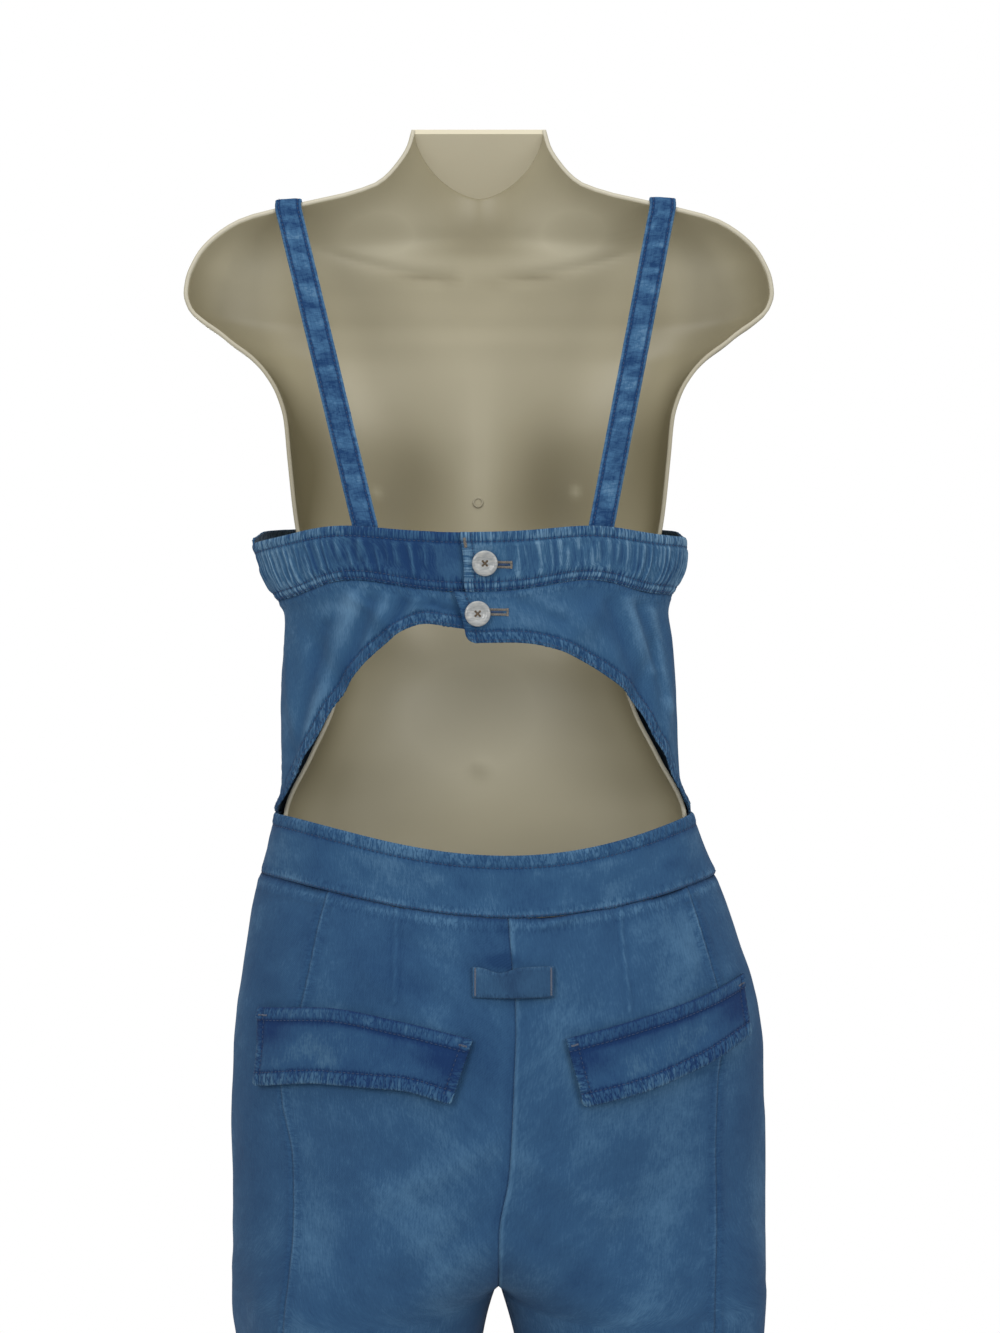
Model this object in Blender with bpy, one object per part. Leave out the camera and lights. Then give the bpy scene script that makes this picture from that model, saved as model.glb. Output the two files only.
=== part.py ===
"""A denim jumpsuit with an open back, hung on a hollow display torso that stands on a pole.

Metres, +Z up. The jumpsuit's front faces -Y, its back +Y, and the wearer's left is +X.
The origin is on the floor, under the middle of the round foot of the stand.
Every piece of cloth is a sheet that follows a few body sections, given a real thickness.
"""

import math
from collections import namedtuple

import bmesh
import bpy
import numpy as np
from mathutils import Vector

# Thicknesses and clearances
DENIM = 0.0015
DOUBLE_DENIM = 0.0026
SEAM_GAP = 0.0005
LYING_GAP = 0.0008
UNDERLAP_STEP = 0.0036

# Heights that the pieces share
HEM_HEIGHT = 0.055
CROTCH_HEIGHT = 0.785
LEGS_MEET_HEIGHT = 0.885
SAG_FADES_HEIGHT = 0.93
WAIST_SEAM_HEIGHT = 1.0665
WAISTBAND_TOP = 1.1078
BAND_FOOT = 1.2570
BAND_TOP = 1.2965
BAND_LEFT_DROP = 0.0046
STRAP_LIFT_FOOT = 0.0085
STRAP_LIFT_TOP = 0.0050

# The waistband and the seam under it sag at the open back, lowest just right of the middle
SEAT_SEAM_SAG = 0.0212
WAISTBAND_SAG = 0.0228
SAG_CENTRE_DEG = -6.0

# Where the two back halves lap: the right half lies on top, and its tab leans out at the top
BAND_LAP_DEG = 1.9
TAB_FOOT_DEG = 2.9
TAB_TOP_DEG = 5.2
UNDER_LAP_DEG = -9.0
UNDERLAP_RAMP_DEG = (5.8, 11.0)

# Elastic casing
GATHERS = 20
GATHER_HEIGHT = 0.0017
COLUMNS_PER_GATHER = 3

# Straps
STRAP_WIDTH = 0.018
STRAP_THICKNESS = 0.0021
STRAP_APART_FRONT = 0.0960
Strap = namedtuple("Strap", "name side apart_back apart_crest")
STRAPS = [Strap("strap_left", 1, 0.0770, 0.1300), Strap("strap_right", -1, 0.0845, 0.1256)]
STRAP_IN_BAND = (1.284, 1.292, 1.3015)
STRAP_BEHIND = (0.03, 0.10, 0.25, 0.45, 0.65, 0.82, 0.94, 1.0)
STRAP_DROPS = (
    0.002, 0.0045, 0.009, 0.018, 0.032, 0.050, 0.066, 0.080, 0.094, 0.108, 0.125, 0.145,
    0.166, 0.186,
)

# Buttons
BUTTON_RADIUS = 0.0085
BUTTON_THICKNESS = 0.0030
BUTTON_SEGMENTS = 28
THREAD_HOLE_RADIUS = 0.0010
THREAD_HOLE_APART = 0.0018

# The display torso and its stand
FORM_WALL = 0.003
FORM_FLOOR = 0.005
FORM_FOOT = 0.875
FORM_TOP = 1.575
NECK_CAP_TILT = 0.58
NECK_TILT_STARTS = 1.490
BUST_HEIGHT = 1.285
BUST_APART = 0.074
BUST_FORWARD = 0.034
BUST_WIDTH = 0.043
BUST_TALL = 0.052
CLOTH_OFF_FORM = 0.0040
STRAP_TUCK_ROOM = 0.0052
STRAP_OFF_TORSO = 0.0026
STRAP_OVER_RIM = 0.0009
STRAP_TUCK_HEIGHTS = (1.300, 1.330)
SOFT_TOUCH = 0.003
FOOT_RADIUS = 0.210
FOOT_THICKNESS = 0.006
FOOT_BEVEL = 0.0015
POLE_RADIUS = 0.0125
POLE_X = 0.072
POLE_Y = -0.010
POLE_FLANGE_RADIUS = 0.034
POLE_FLANGE_THICKNESS = 0.005
REST_GAP = 0.0003

# The torso's half width, sideways shift, depth before its rim, rim place and squareness
FormSection = namedtuple("FormSection", "height half_width shift front rim squareness")
FORM_SECTIONS = [
    FormSection(0.8750, 0.1480, -0.0040, 0.097, 0.000, 2.10),
    FormSection(0.9500, 0.1530, -0.0040, 0.100, 0.000, 2.10),
    FormSection(1.0000, 0.1500, -0.0040, 0.098, 0.000, 2.10),
    FormSection(1.0600, 0.1430, -0.0040, 0.090, 0.000, 2.15),
    FormSection(1.1076, 0.1388, -0.0042, 0.083, 0.000, 2.20),
    FormSection(1.1470, 0.1206, -0.0036, 0.080, 0.000, 2.20),
    FormSection(1.1800, 0.1050, -0.0028, 0.079, 0.000, 2.25),
    FormSection(1.2000, 0.1000, -0.0024, 0.080, 0.000, 2.25),
    FormSection(1.2250, 0.1015, -0.0018, 0.083, 0.000, 2.30),
    FormSection(1.2625, 0.1130, -0.0008, 0.089, 0.000, 2.30),
    FormSection(1.3020, 0.1265, 0.0000, 0.091, 0.000, 2.30),
    FormSection(1.3505, 0.1320, 0.0000, 0.089, 0.002, 2.35),
    FormSection(1.3780, 0.1345, 0.0000, 0.086, 0.004, 2.40),
    FormSection(1.3950, 0.1395, 0.0000, 0.084, 0.005, 2.50),
    FormSection(1.4090, 0.1477, 0.0000, 0.082, 0.006, 2.60),
    FormSection(1.4195, 0.1575, 0.0000, 0.081, 0.007, 2.70),
    FormSection(1.4290, 0.1705, 0.0000, 0.080, 0.008, 2.80),
    FormSection(1.4360, 0.1790, 0.0000, 0.079, 0.009, 2.90),
    FormSection(1.4435, 0.1900, 0.0000, 0.078, 0.010, 3.00),
    FormSection(1.4520, 0.1987, 0.0000, 0.077, 0.010, 3.00),
    FormSection(1.4630, 0.2020, 0.0000, 0.075, 0.011, 3.00),
    FormSection(1.4730, 0.2008, 0.0000, 0.073, 0.011, 2.90),
    FormSection(1.4885, 0.1940, 0.0000, 0.069, 0.012, 2.80),
    FormSection(1.4955, 0.1890, 0.0000, 0.067, 0.012, 2.70),
    FormSection(1.5055, 0.1780, 0.0000, 0.063, 0.012, 2.60),
    FormSection(1.5150, 0.1615, 0.0000, 0.061, 0.012, 2.50),
    FormSection(1.5215, 0.1380, 0.0000, 0.060, 0.012, 2.40),
    FormSection(1.5260, 0.1187, 0.0000, 0.059, 0.012, 2.30),
    FormSection(1.5330, 0.0876, 0.0000, 0.059, 0.012, 2.10),
    FormSection(1.5400, 0.0690, 0.0000, 0.059, 0.012, 1.90),
    FormSection(1.5525, 0.0564, 0.0000, 0.058, 0.012, 1.75),
    FormSection(1.5640, 0.0492, 0.0000, 0.057, 0.012, 1.70),
    FormSection(1.5750, 0.0460, 0.0000, 0.056, 0.012, 1.70),
]
FORM_ROWS = [
    0.875, 0.940, 1.000, 1.060, 1.108, 1.150, 1.190, 1.230, 1.270, 1.310, 1.355,
    1.395, 1.4195, 1.436, 1.452, 1.473, 1.4955, 1.508, 1.516, 1.5225, 1.528, 1.534,
    1.542, 1.553, 1.564, 1.575,
]
FORM_COLUMNS = 22

# The garment's half width, sideways shift, and depth behind and before the rim at each height
ClothSection = namedtuple("ClothSection", "height half_width shift back front")
CLOTH_SECTIONS = [
    ClothSection(0.055, 0.1590, -0.0140, 0.076, 0.078),
    ClothSection(0.300, 0.1620, -0.0145, 0.079, 0.081),
    ClothSection(0.500, 0.1660, -0.0145, 0.084, 0.086),
    ClothSection(0.650, 0.1730, -0.0140, 0.092, 0.093),
    ClothSection(0.740, 0.1800, -0.0135, 0.098, 0.099),
    ClothSection(0.785, 0.1830, -0.0135, 0.101, 0.103),
    ClothSection(0.863, 0.1836, -0.0140, 0.104, 0.106),
    ClothSection(0.905, 0.1830, -0.0138, 0.104, 0.107),
    ClothSection(0.948, 0.1820, -0.0132, 0.101, 0.107),
    ClothSection(0.976, 0.1794, -0.0128, 0.097, 0.105),
    ClothSection(0.990, 0.1768, -0.0122, 0.094, 0.104),
    ClothSection(1.012, 0.1718, -0.0104, 0.090, 0.101),
    ClothSection(1.039, 0.1653, -0.0080, 0.083, 0.096),
    ClothSection(1.066, 0.1565, -0.0065, 0.077, 0.092),
    ClothSection(1.088, 0.1490, -0.0045, 0.075, 0.089),
    ClothSection(1.108, 0.1436, -0.0030, 0.073, 0.087),
    ClothSection(1.123, 0.1385, -0.0020, 0.071, 0.088),
    ClothSection(1.133, 0.1369, -0.0010, 0.070, 0.089),
    ClothSection(1.185, 0.1362, 0.0004, 0.066, 0.098),
    ClothSection(1.226, 0.1342, 0.0005, 0.062, 0.110),
    ClothSection(1.244, 0.1325, 0.0017, 0.061, 0.115),
    ClothSection(1.254, 0.1358, 0.0036, 0.060, 0.118),
    ClothSection(1.264, 0.1411, 0.0045, 0.060, 0.120),
    ClothSection(1.276, 0.1465, 0.0047, 0.060, 0.122),
    ClothSection(1.296, 0.1503, 0.0068, 0.061, 0.121),
    ClothSection(1.330, 0.1495, 0.0060, 0.061, 0.112),
    ClothSection(1.360, 0.1480, 0.0050, 0.061, 0.100),
]

# The inner edge of a leg's oval as a share of its outer edge: -1 is one oval round both legs
LegSplit = namedtuple("LegSplit", "height share")
LEG_SPLITS = [
    LegSplit(0.055, 0.130),
    LegSplit(0.400, 0.125),
    LegSplit(0.640, 0.110),
    LegSplit(0.730, 0.075),
    LegSplit(0.785, 0.004),
    LegSplit(0.815, -0.270),
    LegSplit(0.845, -0.720),
    LegSplit(0.878, -1.000),
    LegSplit(1.070, -1.000),
]

# How far out each side seam lies on the back, as a share of the half width, and the seat's turn
SeamPlace = namedtuple("SeamPlace", "height left right turn_deg")
SEAM_PLACES = [
    SeamPlace(0.055, 0.965, 0.965, 0.0),
    SeamPlace(0.500, 0.880, 0.880, 0.0),
    SeamPlace(0.785, 0.750, 0.775, 0.0),
    SeamPlace(0.845, 0.730, 0.772, 0.0),
    SeamPlace(0.885, 0.735, 0.775, -2.0),
    SeamPlace(0.932, 0.783, 0.790, -3.0),
    SeamPlace(0.985, 0.727, 0.838, -3.8),
    SeamPlace(1.066, 0.669, 0.839, -4.3),
]

# The curved lower edge of each back half, from the middle of the back to the side seam
ArchPoint = namedtuple("ArchPoint", "angle_deg left right")
ARCH = [
    ArchPoint(-10.0, 1.2320, 1.2232),
    ArchPoint(5.0, 1.2325, 1.2235),
    ArchPoint(12.0, 1.2362, 1.2238),
    ArchPoint(18.0, 1.2360, 1.2222),
    ArchPoint(25.0, 1.2254, 1.2176),
    ArchPoint(33.0, 1.2122, 1.2093),
    ArchPoint(42.0, 1.1896, 1.1980),
    ArchPoint(50.0, 1.1662, 1.1872),
    ArchPoint(60.0, 1.1433, 1.1615),
    ArchPoint(74.0, 1.1218, 1.1362),
    ArchPoint(82.0, 1.1120, 1.1210),
    ArchPoint(90.0, 1.1088, 1.1088),
]

# The top edge of the front, from the middle of the front to the side seam
FrontEdge = namedtuple("FrontEdge", "angle_deg height")
FRONT_TOP = [
    FrontEdge(0.0, 1.3440),
    FrontEdge(25.0, 1.3510),
    FrontEdge(38.0, 1.3510),
    FrontEdge(47.0, 1.3250),
    FrontEdge(56.0, 1.3045),
    FrontEdge(70.0, 1.2990),
    FrontEdge(90.0, 1.2965),
]

# The largest soft folds: their place round the leg, their ends, spread and height
Fold = namedtuple("Fold", "side angle_deg top bottom spread_deg rise")
FOLDS = [
    Fold(1, 20.0, 0.97, 0.20, 13.0, 0.0042),
    Fold(1, 62.0, 0.88, 0.06, 15.0, -0.0046),
    Fold(1, 118.0, 0.95, 0.15, 14.0, 0.0040),
    Fold(1, 160.0, 0.90, 0.40, 12.0, -0.0036),
    Fold(1, 205.0, 0.70, 0.06, 14.0, 0.0040),
    Fold(-1, 26.0, 0.95, 0.10, 14.0, -0.0040),
    Fold(-1, 58.0, 0.90, 0.25, 13.0, 0.0046),
    Fold(-1, 108.0, 0.94, 0.06, 15.0, -0.0040),
    Fold(-1, 150.0, 0.92, 0.30, 13.0, 0.0040),
    Fold(-1, 200.0, 0.70, 0.10, 14.0, -0.0036),
]

# Drag folds that slope across each back half of the bodice
Drag = namedtuple("Drag", "side angle_deg height lean spread_deg rise")
DRAGS = [
    Drag(1, 30.0, 1.245, 520.0, 5.0, 0.0022),
    Drag(1, 52.0, 1.215, 420.0, 6.0, -0.0022),
    Drag(1, 70.0, 1.190, 260.0, 6.0, 0.0020),
    Drag(-1, 34.0, 1.240, 480.0, 6.0, 0.0020),
    Drag(-1, 58.0, 1.205, 360.0, 6.0, -0.0022),
    Drag(-1, 74.0, 1.190, 200.0, 5.0, 0.0018),
]

# Each pocket flap: its top and bottom edge, from its end on the wearer's left to the other
FlapSection = namedtuple("FlapSection", "place top_x top_z foot_x foot_z")
FLAPS = {
    "pocket_flap_left": (1, [
        FlapSection(0.00, 0.1440, 0.9815, 0.1455, 0.9310),
        FlapSection(0.34, 0.0950, 0.9860, 0.0975, 0.9385),
        FlapSection(0.67, 0.0490, 0.9800, 0.0510, 0.9378),
        FlapSection(1.00, 0.0025, 0.9700, 0.0163, 0.9300),
    ]),
    "pocket_flap_right": (-1, [
        FlapSection(0.00, -0.0560, 0.9700, -0.0675, 0.9275),
        FlapSection(0.33, -0.0970, 0.9790, -0.1030, 0.9345),
        FlapSection(0.66, -0.1375, 0.9890, -0.1425, 0.9470),
        FlapSection(1.00, -0.1770, 1.0010, -0.1790, 0.9625),
    ]),
}
FLAP_WELT = 0.16
FLAP_WELT_RISE = 0.0009
FLAP_STANDS_OFF = 0.0030

# The hanging loop over the seat seam
LOOP_LEFT_X = 0.003
LOOP_RIGHT_X = -0.049
LOOP_TOP = 1.0155
LOOP_HEIGHT = 0.0195
LOOP_BULGE = 0.0024

# Each button: how far round, and how high
BUTTON_PLACES = [("button_top", -3.6, 1.2758), ("button_bottom", -0.6, 1.2424)]

for old in list(bpy.data.objects):
    bpy.data.objects.remove(old)


def material(name, colour, roughness, metallic=0.0):
    made = bpy.data.materials.new(name)
    made.use_nodes = True
    shader = made.node_tree.nodes["Principled BSDF"]
    shader.inputs["Base Color"].default_value = (*colour, 1.0)
    shader.inputs["Roughness"].default_value = roughness
    shader.inputs["Metallic"].default_value = metallic
    return made


WASHED_DENIM = material("washed_denim", (0.037, 0.102, 0.205), 0.88)
DARK_DENIM = material("double_denim", (0.030, 0.088, 0.190), 0.86)
PEARL_BUTTON = material("pearl_button", (0.60, 0.60, 0.58), 0.35)
TORSO_PLASTIC = material("torso_plastic", (0.36, 0.32, 0.22), 0.42)
STAND_STEEL = material("stand_steel", (0.55, 0.55, 0.56), 0.30, 0.9)


def smoothstep(low, high, value):
    t = np.clip((value - low) / (high - low), 0.0, 1.0)
    return t * t * (3.0 - 2.0 * t)


def read(table, column, at):
    """One column of a table at any value of its first column, smooth and never overshooting."""
    x = np.array([row[0] for row in table])
    y = np.array([getattr(row, column) for row in table])
    step = np.diff(x)
    slope = np.diff(y) / step
    tangent = np.zeros_like(y)
    same_way = slope[:-1] * slope[1:] > 0
    product = 2.0 * slope[:-1] * slope[1:]
    total = np.where(same_way, slope[:-1] + slope[1:], 1.0)
    tangent[1:-1] = np.where(same_way, product / total, 0.0)
    tangent[0], tangent[-1] = slope[0], slope[-1]
    at = np.clip(at, x[0], x[-1])
    i = np.clip(np.searchsorted(x, at) - 1, 0, len(step) - 1)
    t = (at - x[i]) / step[i]
    return (
        (2 * t**3 - 3 * t**2 + 1) * y[i]
        + (t**3 - 2 * t**2 + t) * step[i] * tangent[i]
        + (3 * t**2 - 2 * t**3) * y[i + 1]
        + (t**3 - t**2) * step[i] * tangent[i + 1]
    )


def stacked(x, y, z):
    return np.stack(np.broadcast_arrays(x, y, z), axis=-1)


def normals_of(surface, u, v, step=1e-3):
    """The outward unit normals of a surface given as a function of u and v."""
    along = surface(u + step, v) - surface(u - step, v)
    up = surface(u, v + step) - surface(u, v - step)
    normal = np.cross(along, up)
    return normal / np.linalg.norm(normal, axis=-1, keepdims=True)


# The display torso

def bust(x, height, half_width):
    """How far the torso swells forward at its bust."""
    swell = np.exp(
        -((np.abs(x) - BUST_APART) / BUST_WIDTH) ** 2
        - ((height - BUST_HEIGHT) / BUST_TALL) ** 2
    )
    return BUST_FORWARD * swell * (1.0 - np.clip(np.abs(x) / half_width, 0, 1) ** 4)


def torso_point(across, height):
    """A point on the torso: across runs from -1 at the wearer's right rim to 1 at the left."""
    half_width = read(FORM_SECTIONS, "half_width", height)
    front = read(FORM_SECTIONS, "front", height)
    rim = read(FORM_SECTIONS, "rim", height)
    power = 2.0 / read(FORM_SECTIONS, "squareness", height)
    angle = np.clip(across, -1, 1) * math.pi / 2
    x = half_width * np.sign(angle) * np.abs(np.sin(angle)) ** power
    y = rim - front * np.abs(np.cos(angle)) ** power - bust(x, height, half_width)
    x = x + read(FORM_SECTIONS, "shift", height)
    tilt = NECK_CAP_TILT * (y - rim) * smoothstep(NECK_TILT_STARTS, FORM_TOP, height)
    return stacked(x, y, height + tilt)


def torso_front(x, height, room):
    """How far before the plane y = 0 the torso and some room round it reach."""
    half_width = read(FORM_SECTIONS, "half_width", height) + room
    front = read(FORM_SECTIONS, "front", height) + room
    squareness = read(FORM_SECTIONS, "squareness", height)
    x = x - read(FORM_SECTIONS, "shift", height)
    share = np.abs(x) / half_width
    inside = np.clip(1.0 - np.clip(share, 0, 1) ** squareness, 0, 1) ** (1.0 / squareness)
    reach = front * inside + bust(x, height, half_width)
    below = height < FORM_FOOT - 0.01
    return np.where(below | (share > 1.0), -0.05, reach - read(FORM_SECTIONS, "rim", height))


def torso_normal(across, height):
    inside = np.clip(across, -0.985, 0.985)
    low = np.clip(height, FORM_FOOT + 1e-3, FORM_TOP - 1e-3)
    return normals_of(torso_point, inside, low)


def make_torso():
    """The torso's shell: an open back, a flat floor at the hip and a flat cap on the neck."""
    rows = np.array(FORM_ROWS)
    across = np.linspace(-1, 1, FORM_COLUMNS + 1)
    bm = bmesh.new()

    def grid(inner):
        made = []
        for j, height in enumerate(rows):
            at = height
            if inner and j == 0:
                at = height + FORM_FLOOR
            if inner and j == len(rows) - 1:
                at = height - FORM_WALL
            points = torso_point(across, at)
            if inner:
                moved = points - FORM_WALL * torso_normal(across, at)
                if j in (0, len(rows) - 1):
                    moved[:, 2] = points[:, 2]
                points = moved
            made.append([bm.verts.new(p) for p in points])
        return made

    outer, inner = grid(False), grid(True)
    for j in range(len(rows) - 1):
        for i in range(FORM_COLUMNS):
            bm.faces.new((outer[j][i], outer[j][i + 1], outer[j + 1][i + 1], outer[j + 1][i]))
            bm.faces.new((inner[j][i], inner[j + 1][i], inner[j + 1][i + 1], inner[j][i + 1]))
        for i in (0, FORM_COLUMNS):
            bm.faces.new((outer[j][i], outer[j + 1][i], inner[j + 1][i], inner[j][i]))
    for j in (0, len(rows) - 1):
        bm.faces.new(outer[j])
        bm.faces.new(inner[j])
        bm.faces.new((outer[j][0], outer[j][-1], inner[j][-1], inner[j][0]))
    return finished("display_torso", bm, TORSO_PLASTIC)


def finished(name, bm, finish, smooth=True):
    """A named object from a closed bmesh, with its faces pointing out."""
    bmesh.ops.recalc_face_normals(bm, faces=bm.faces)
    mesh = bpy.data.meshes.new(name)
    bm.to_mesh(mesh)
    bm.free()
    mesh.materials.append(finish)
    if smooth:
        mesh.shade_smooth()
        mesh.set_sharp_from_angle(angle=math.radians(40))
    obj = bpy.data.objects.new(name, mesh)
    bpy.context.scene.collection.objects.link(obj)
    return obj


def cloth(name, surface, columns, rows, thickness, finish=WASHED_DENIM, raised=None):
    """A closed wall of cloth: a grid laid on the inner face and extruded to the outer one.

    columns and rows are the lists of u and v. On every panel u runs round the body towards the
    wearer's right at the back and v runs up, so the normals point out. raised lifts the outer
    face only.
    """
    columns, rows = np.asarray(columns, float), np.asarray(rows, float)
    v, u = np.meshgrid(rows, columns, indexing="ij")
    normal = normals_of(surface, u, v)
    outer = surface(u, v)
    inner = outer - thickness * normal
    if raised is not None:
        outer = outer + raised(u, v)[..., None] * normal
    outer, inner = outer.reshape(-1, 3), inner.reshape(-1, 3)
    bm = bmesh.new()
    bmesh.ops.create_grid(bm, x_segments=len(columns) - 1, y_segments=len(rows) - 1, size=0.5)
    index = bm.verts.layers.int.new("index")
    for i, vert in enumerate(bm.verts):
        vert[index] = i
        vert.co = inner[i]
    made = bmesh.ops.extrude_face_region(bm, geom=bm.faces[:], use_keep_orig=True)
    for vert in made["geom"]:
        if isinstance(vert, bmesh.types.BMVert):
            vert.co = outer[vert[index]]
    return finished(name, bm, finish)


# The garment's sections

def sag(angle):
    """The share of the back's sag at an angle round from the middle of the back."""
    turned = np.cos(angle - math.radians(SAG_CENTRE_DEG))
    return np.where(np.cos(angle) > -0.2, np.clip(turned, 0, 1) ** 3, 0.0)


def off_the_torso(x, y, height):
    """Moves the front of a section forward where the torso fills it."""
    room = CLOTH_OFF_FORM + STRAP_TUCK_ROOM * smoothstep(*STRAP_TUCK_HEIGHTS, height)
    reach = torso_front(x, height, room)
    depth = -y
    pushed = 0.5 * (depth + reach + np.sqrt((depth - reach) ** 2 + SOFT_TOUCH**2))
    return np.where(y < -0.01, -pushed, y)


def ring_point(angle, height, step_in=0.0):
    """A point of the bodice or waistband, at an angle from the back's middle towards the left."""
    half_width = read(CLOTH_SECTIONS, "half_width", height) - step_in
    behind = read(CLOTH_SECTIONS, "back", height) - step_in
    before = read(CLOTH_SECTIONS, "front", height)
    x = read(CLOTH_SECTIONS, "shift", height) + half_width * np.sin(angle)
    y = np.where(np.cos(angle) > 0, behind, before) * np.cos(angle)
    return stacked(x, off_the_torso(x, y, height), height)


def leg_centre(height):
    """The middle and half width of one leg's oval, measured from the line between the legs."""
    outside = read(CLOTH_SECTIONS, "half_width", height)
    inside = outside * read(LEG_SPLITS, "share", height)
    return (outside + inside) / 2, (outside - inside) / 2


def fold_rise(side, angle, height):
    """How far the soft folds lift the cloth of a leg, fading out at the seat seam."""
    total = np.zeros(np.broadcast(angle, height).shape)
    for fold in FOLDS:
        if fold.side != side:
            continue
        near = np.exp(-((np.degrees(angle) - 90 - fold.angle_deg) / fold.spread_deg) ** 2)
        length = smoothstep(fold.bottom - 0.03, fold.bottom + 0.10, height)
        length = length * (1 - smoothstep(fold.top - 0.12, fold.top, height))
        total = total + fold.rise * near * length
    return total


def leg_surface(side, from_back):
    """The surface of a front or back leg panel, from seam to seam and from hem to waist."""

    def surface(u, v):
        level = leg_level(v)
        share = 1 - u if (side > 0) == from_back else u
        centre, radius = leg_centre(level)
        start = np.arccos(np.clip((centre - SEAM_GAP / 2) / radius, -1, 1))
        turn = side * np.radians(read(SEAM_PLACES, "turn_deg", level))
        place = read(SEAM_PLACES, "left" if side > 0 else "right", level)
        seam = np.arccos((centre - place * (centre + radius)) / radius) - turn
        hair = SEAM_GAP / 2 / radius
        if from_back:
            angle = start + hair + share * (seam - start - 2 * hair)
        else:
            end = 2 * math.pi - start
            angle = end - hair - share * (end - seam - 2 * hair)
        angle = angle + turn
        around = side * (angle - math.pi / 2)
        fade = smoothstep(SAG_FADES_HEIGHT, WAIST_SEAM_HEIGHT, level)
        height = level - SEAT_SEAM_SAG * sag(around) * fade
        return leg_point(side, angle, height, level)

    return surface


def leg_point(side, angle, height, level=None):
    """A point of a leg at an angle round it: 0 at the inseam, a quarter turn at the back."""
    level = height if level is None else level
    centre, radius = leg_centre(level)
    outside = read(CLOTH_SECTIONS, "half_width", height)
    scale = outside / (centre + radius)
    behind = read(CLOTH_SECTIONS, "back", height)
    before = read(CLOTH_SECTIONS, "front", height)
    start = np.arccos(np.clip(centre / radius, -1, 1))
    from_seam = np.minimum(angle - start, 2 * math.pi - start - angle)
    rise = fold_rise(side, angle, height) * smoothstep(0.05, 0.75, from_seam)
    across = centre * scale - (radius * scale + rise) * np.cos(angle)
    x = read(CLOTH_SECTIONS, "shift", height) + side * across
    y = (np.where(np.sin(angle) > 0, behind, before) + rise) * np.sin(angle)
    return stacked(x, off_the_torso(x, y, height), height)


def leg_level(v):
    """The height of a row of a leg before the waist sags: v is 0 at the hem and 1 at the waist."""
    return HEM_HEIGHT + v * (WAIST_SEAM_HEIGHT - SEAM_GAP / 2 - HEM_HEIGHT)


def leg_rows():
    """Rows close together round the crotch, where the section changes fastest."""
    below = np.linspace(HEM_HEIGHT, CROTCH_HEIGHT - 0.04, 6)
    crotch = CROTCH_HEIGHT + np.array([-0.012, 0.0, 0.003, 0.010, 0.024, 0.045, 0.075])
    seat = np.linspace(LEGS_MEET_HEIGHT, WAIST_SEAM_HEIGHT - SEAM_GAP / 2, 5)
    heights = np.concatenate([below, crotch, seat])
    return (heights - HEM_HEIGHT) / (heights[-1] - HEM_HEIGHT)


def make_legs():
    for side, hand in ((1, "left"), (-1, "right")):
        across = np.linspace(0, 1, 12)
        cloth(f"leg_back_{hand}", leg_surface(side, True), across, leg_rows(), DENIM)
        across = np.linspace(0, 1, 13)
        cloth(f"leg_front_{hand}", leg_surface(side, False), across, leg_rows(), DENIM)


def make_waistband():
    """A double band, cut in a front and a back piece that meet at the sides."""

    def surface_from(first, last):
        def surface(u, v):
            angle = first + u * (last - first)
            low = WAIST_SEAM_HEIGHT + SEAM_GAP / 2 - SEAT_SEAM_SAG * sag(angle)
            high = WAISTBAND_TOP - SEAM_GAP / 2 - WAISTBAND_SAG * sag(angle)
            return ring_point(angle, low + v * (high - low))

        return surface

    quarter, hair = math.pi / 2, SEAM_GAP / 2 / 0.15
    rows = [0, 0.5, 1]
    back = surface_from(quarter - hair, -quarter + hair)
    front = surface_from(-quarter - hair, -3 * quarter + hair)
    cloth("waistband_back", back, np.linspace(0, 1, 25), rows, DOUBLE_DENIM, DARK_DENIM)
    cloth("waistband_front", front, np.linspace(0, 1, 25), rows, DOUBLE_DENIM, DARK_DENIM)


def strap_lift(angle):
    """The casing rises where a strap pulls on it."""
    return np.exp(-(((np.abs(np.degrees(angle)) - 34) / 17) ** 2))


def left_drop(angle):
    """The casing hangs a little lower towards its left end."""
    return BAND_LEFT_DROP * smoothstep(math.radians(38), math.radians(88), angle)


def band_foot(angle):
    return BAND_FOOT + STRAP_LIFT_FOOT * strap_lift(angle) - left_drop(angle)


def band_top(angle):
    return BAND_TOP + STRAP_LIFT_TOP * strap_lift(angle) - left_drop(angle)


def underlap(side, angle):
    """The left half steps in, to lie under the right one."""
    low, high = (math.radians(d) for d in UNDERLAP_RAMP_DEG)
    return UNDERLAP_STEP * (1 - smoothstep(low, high, angle)) if side > 0 else 0.0 * angle


def drag_rise(side, angle, height):
    total = np.zeros(np.broadcast(angle, height).shape)
    for drag in DRAGS:
        if drag.side == side:
            middle = drag.angle_deg - drag.lean * (drag.height - height)
            near = np.exp(-(((np.degrees(side * angle) - middle) / drag.spread_deg) ** 2))
            total = total + drag.rise * near
    return total


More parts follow.
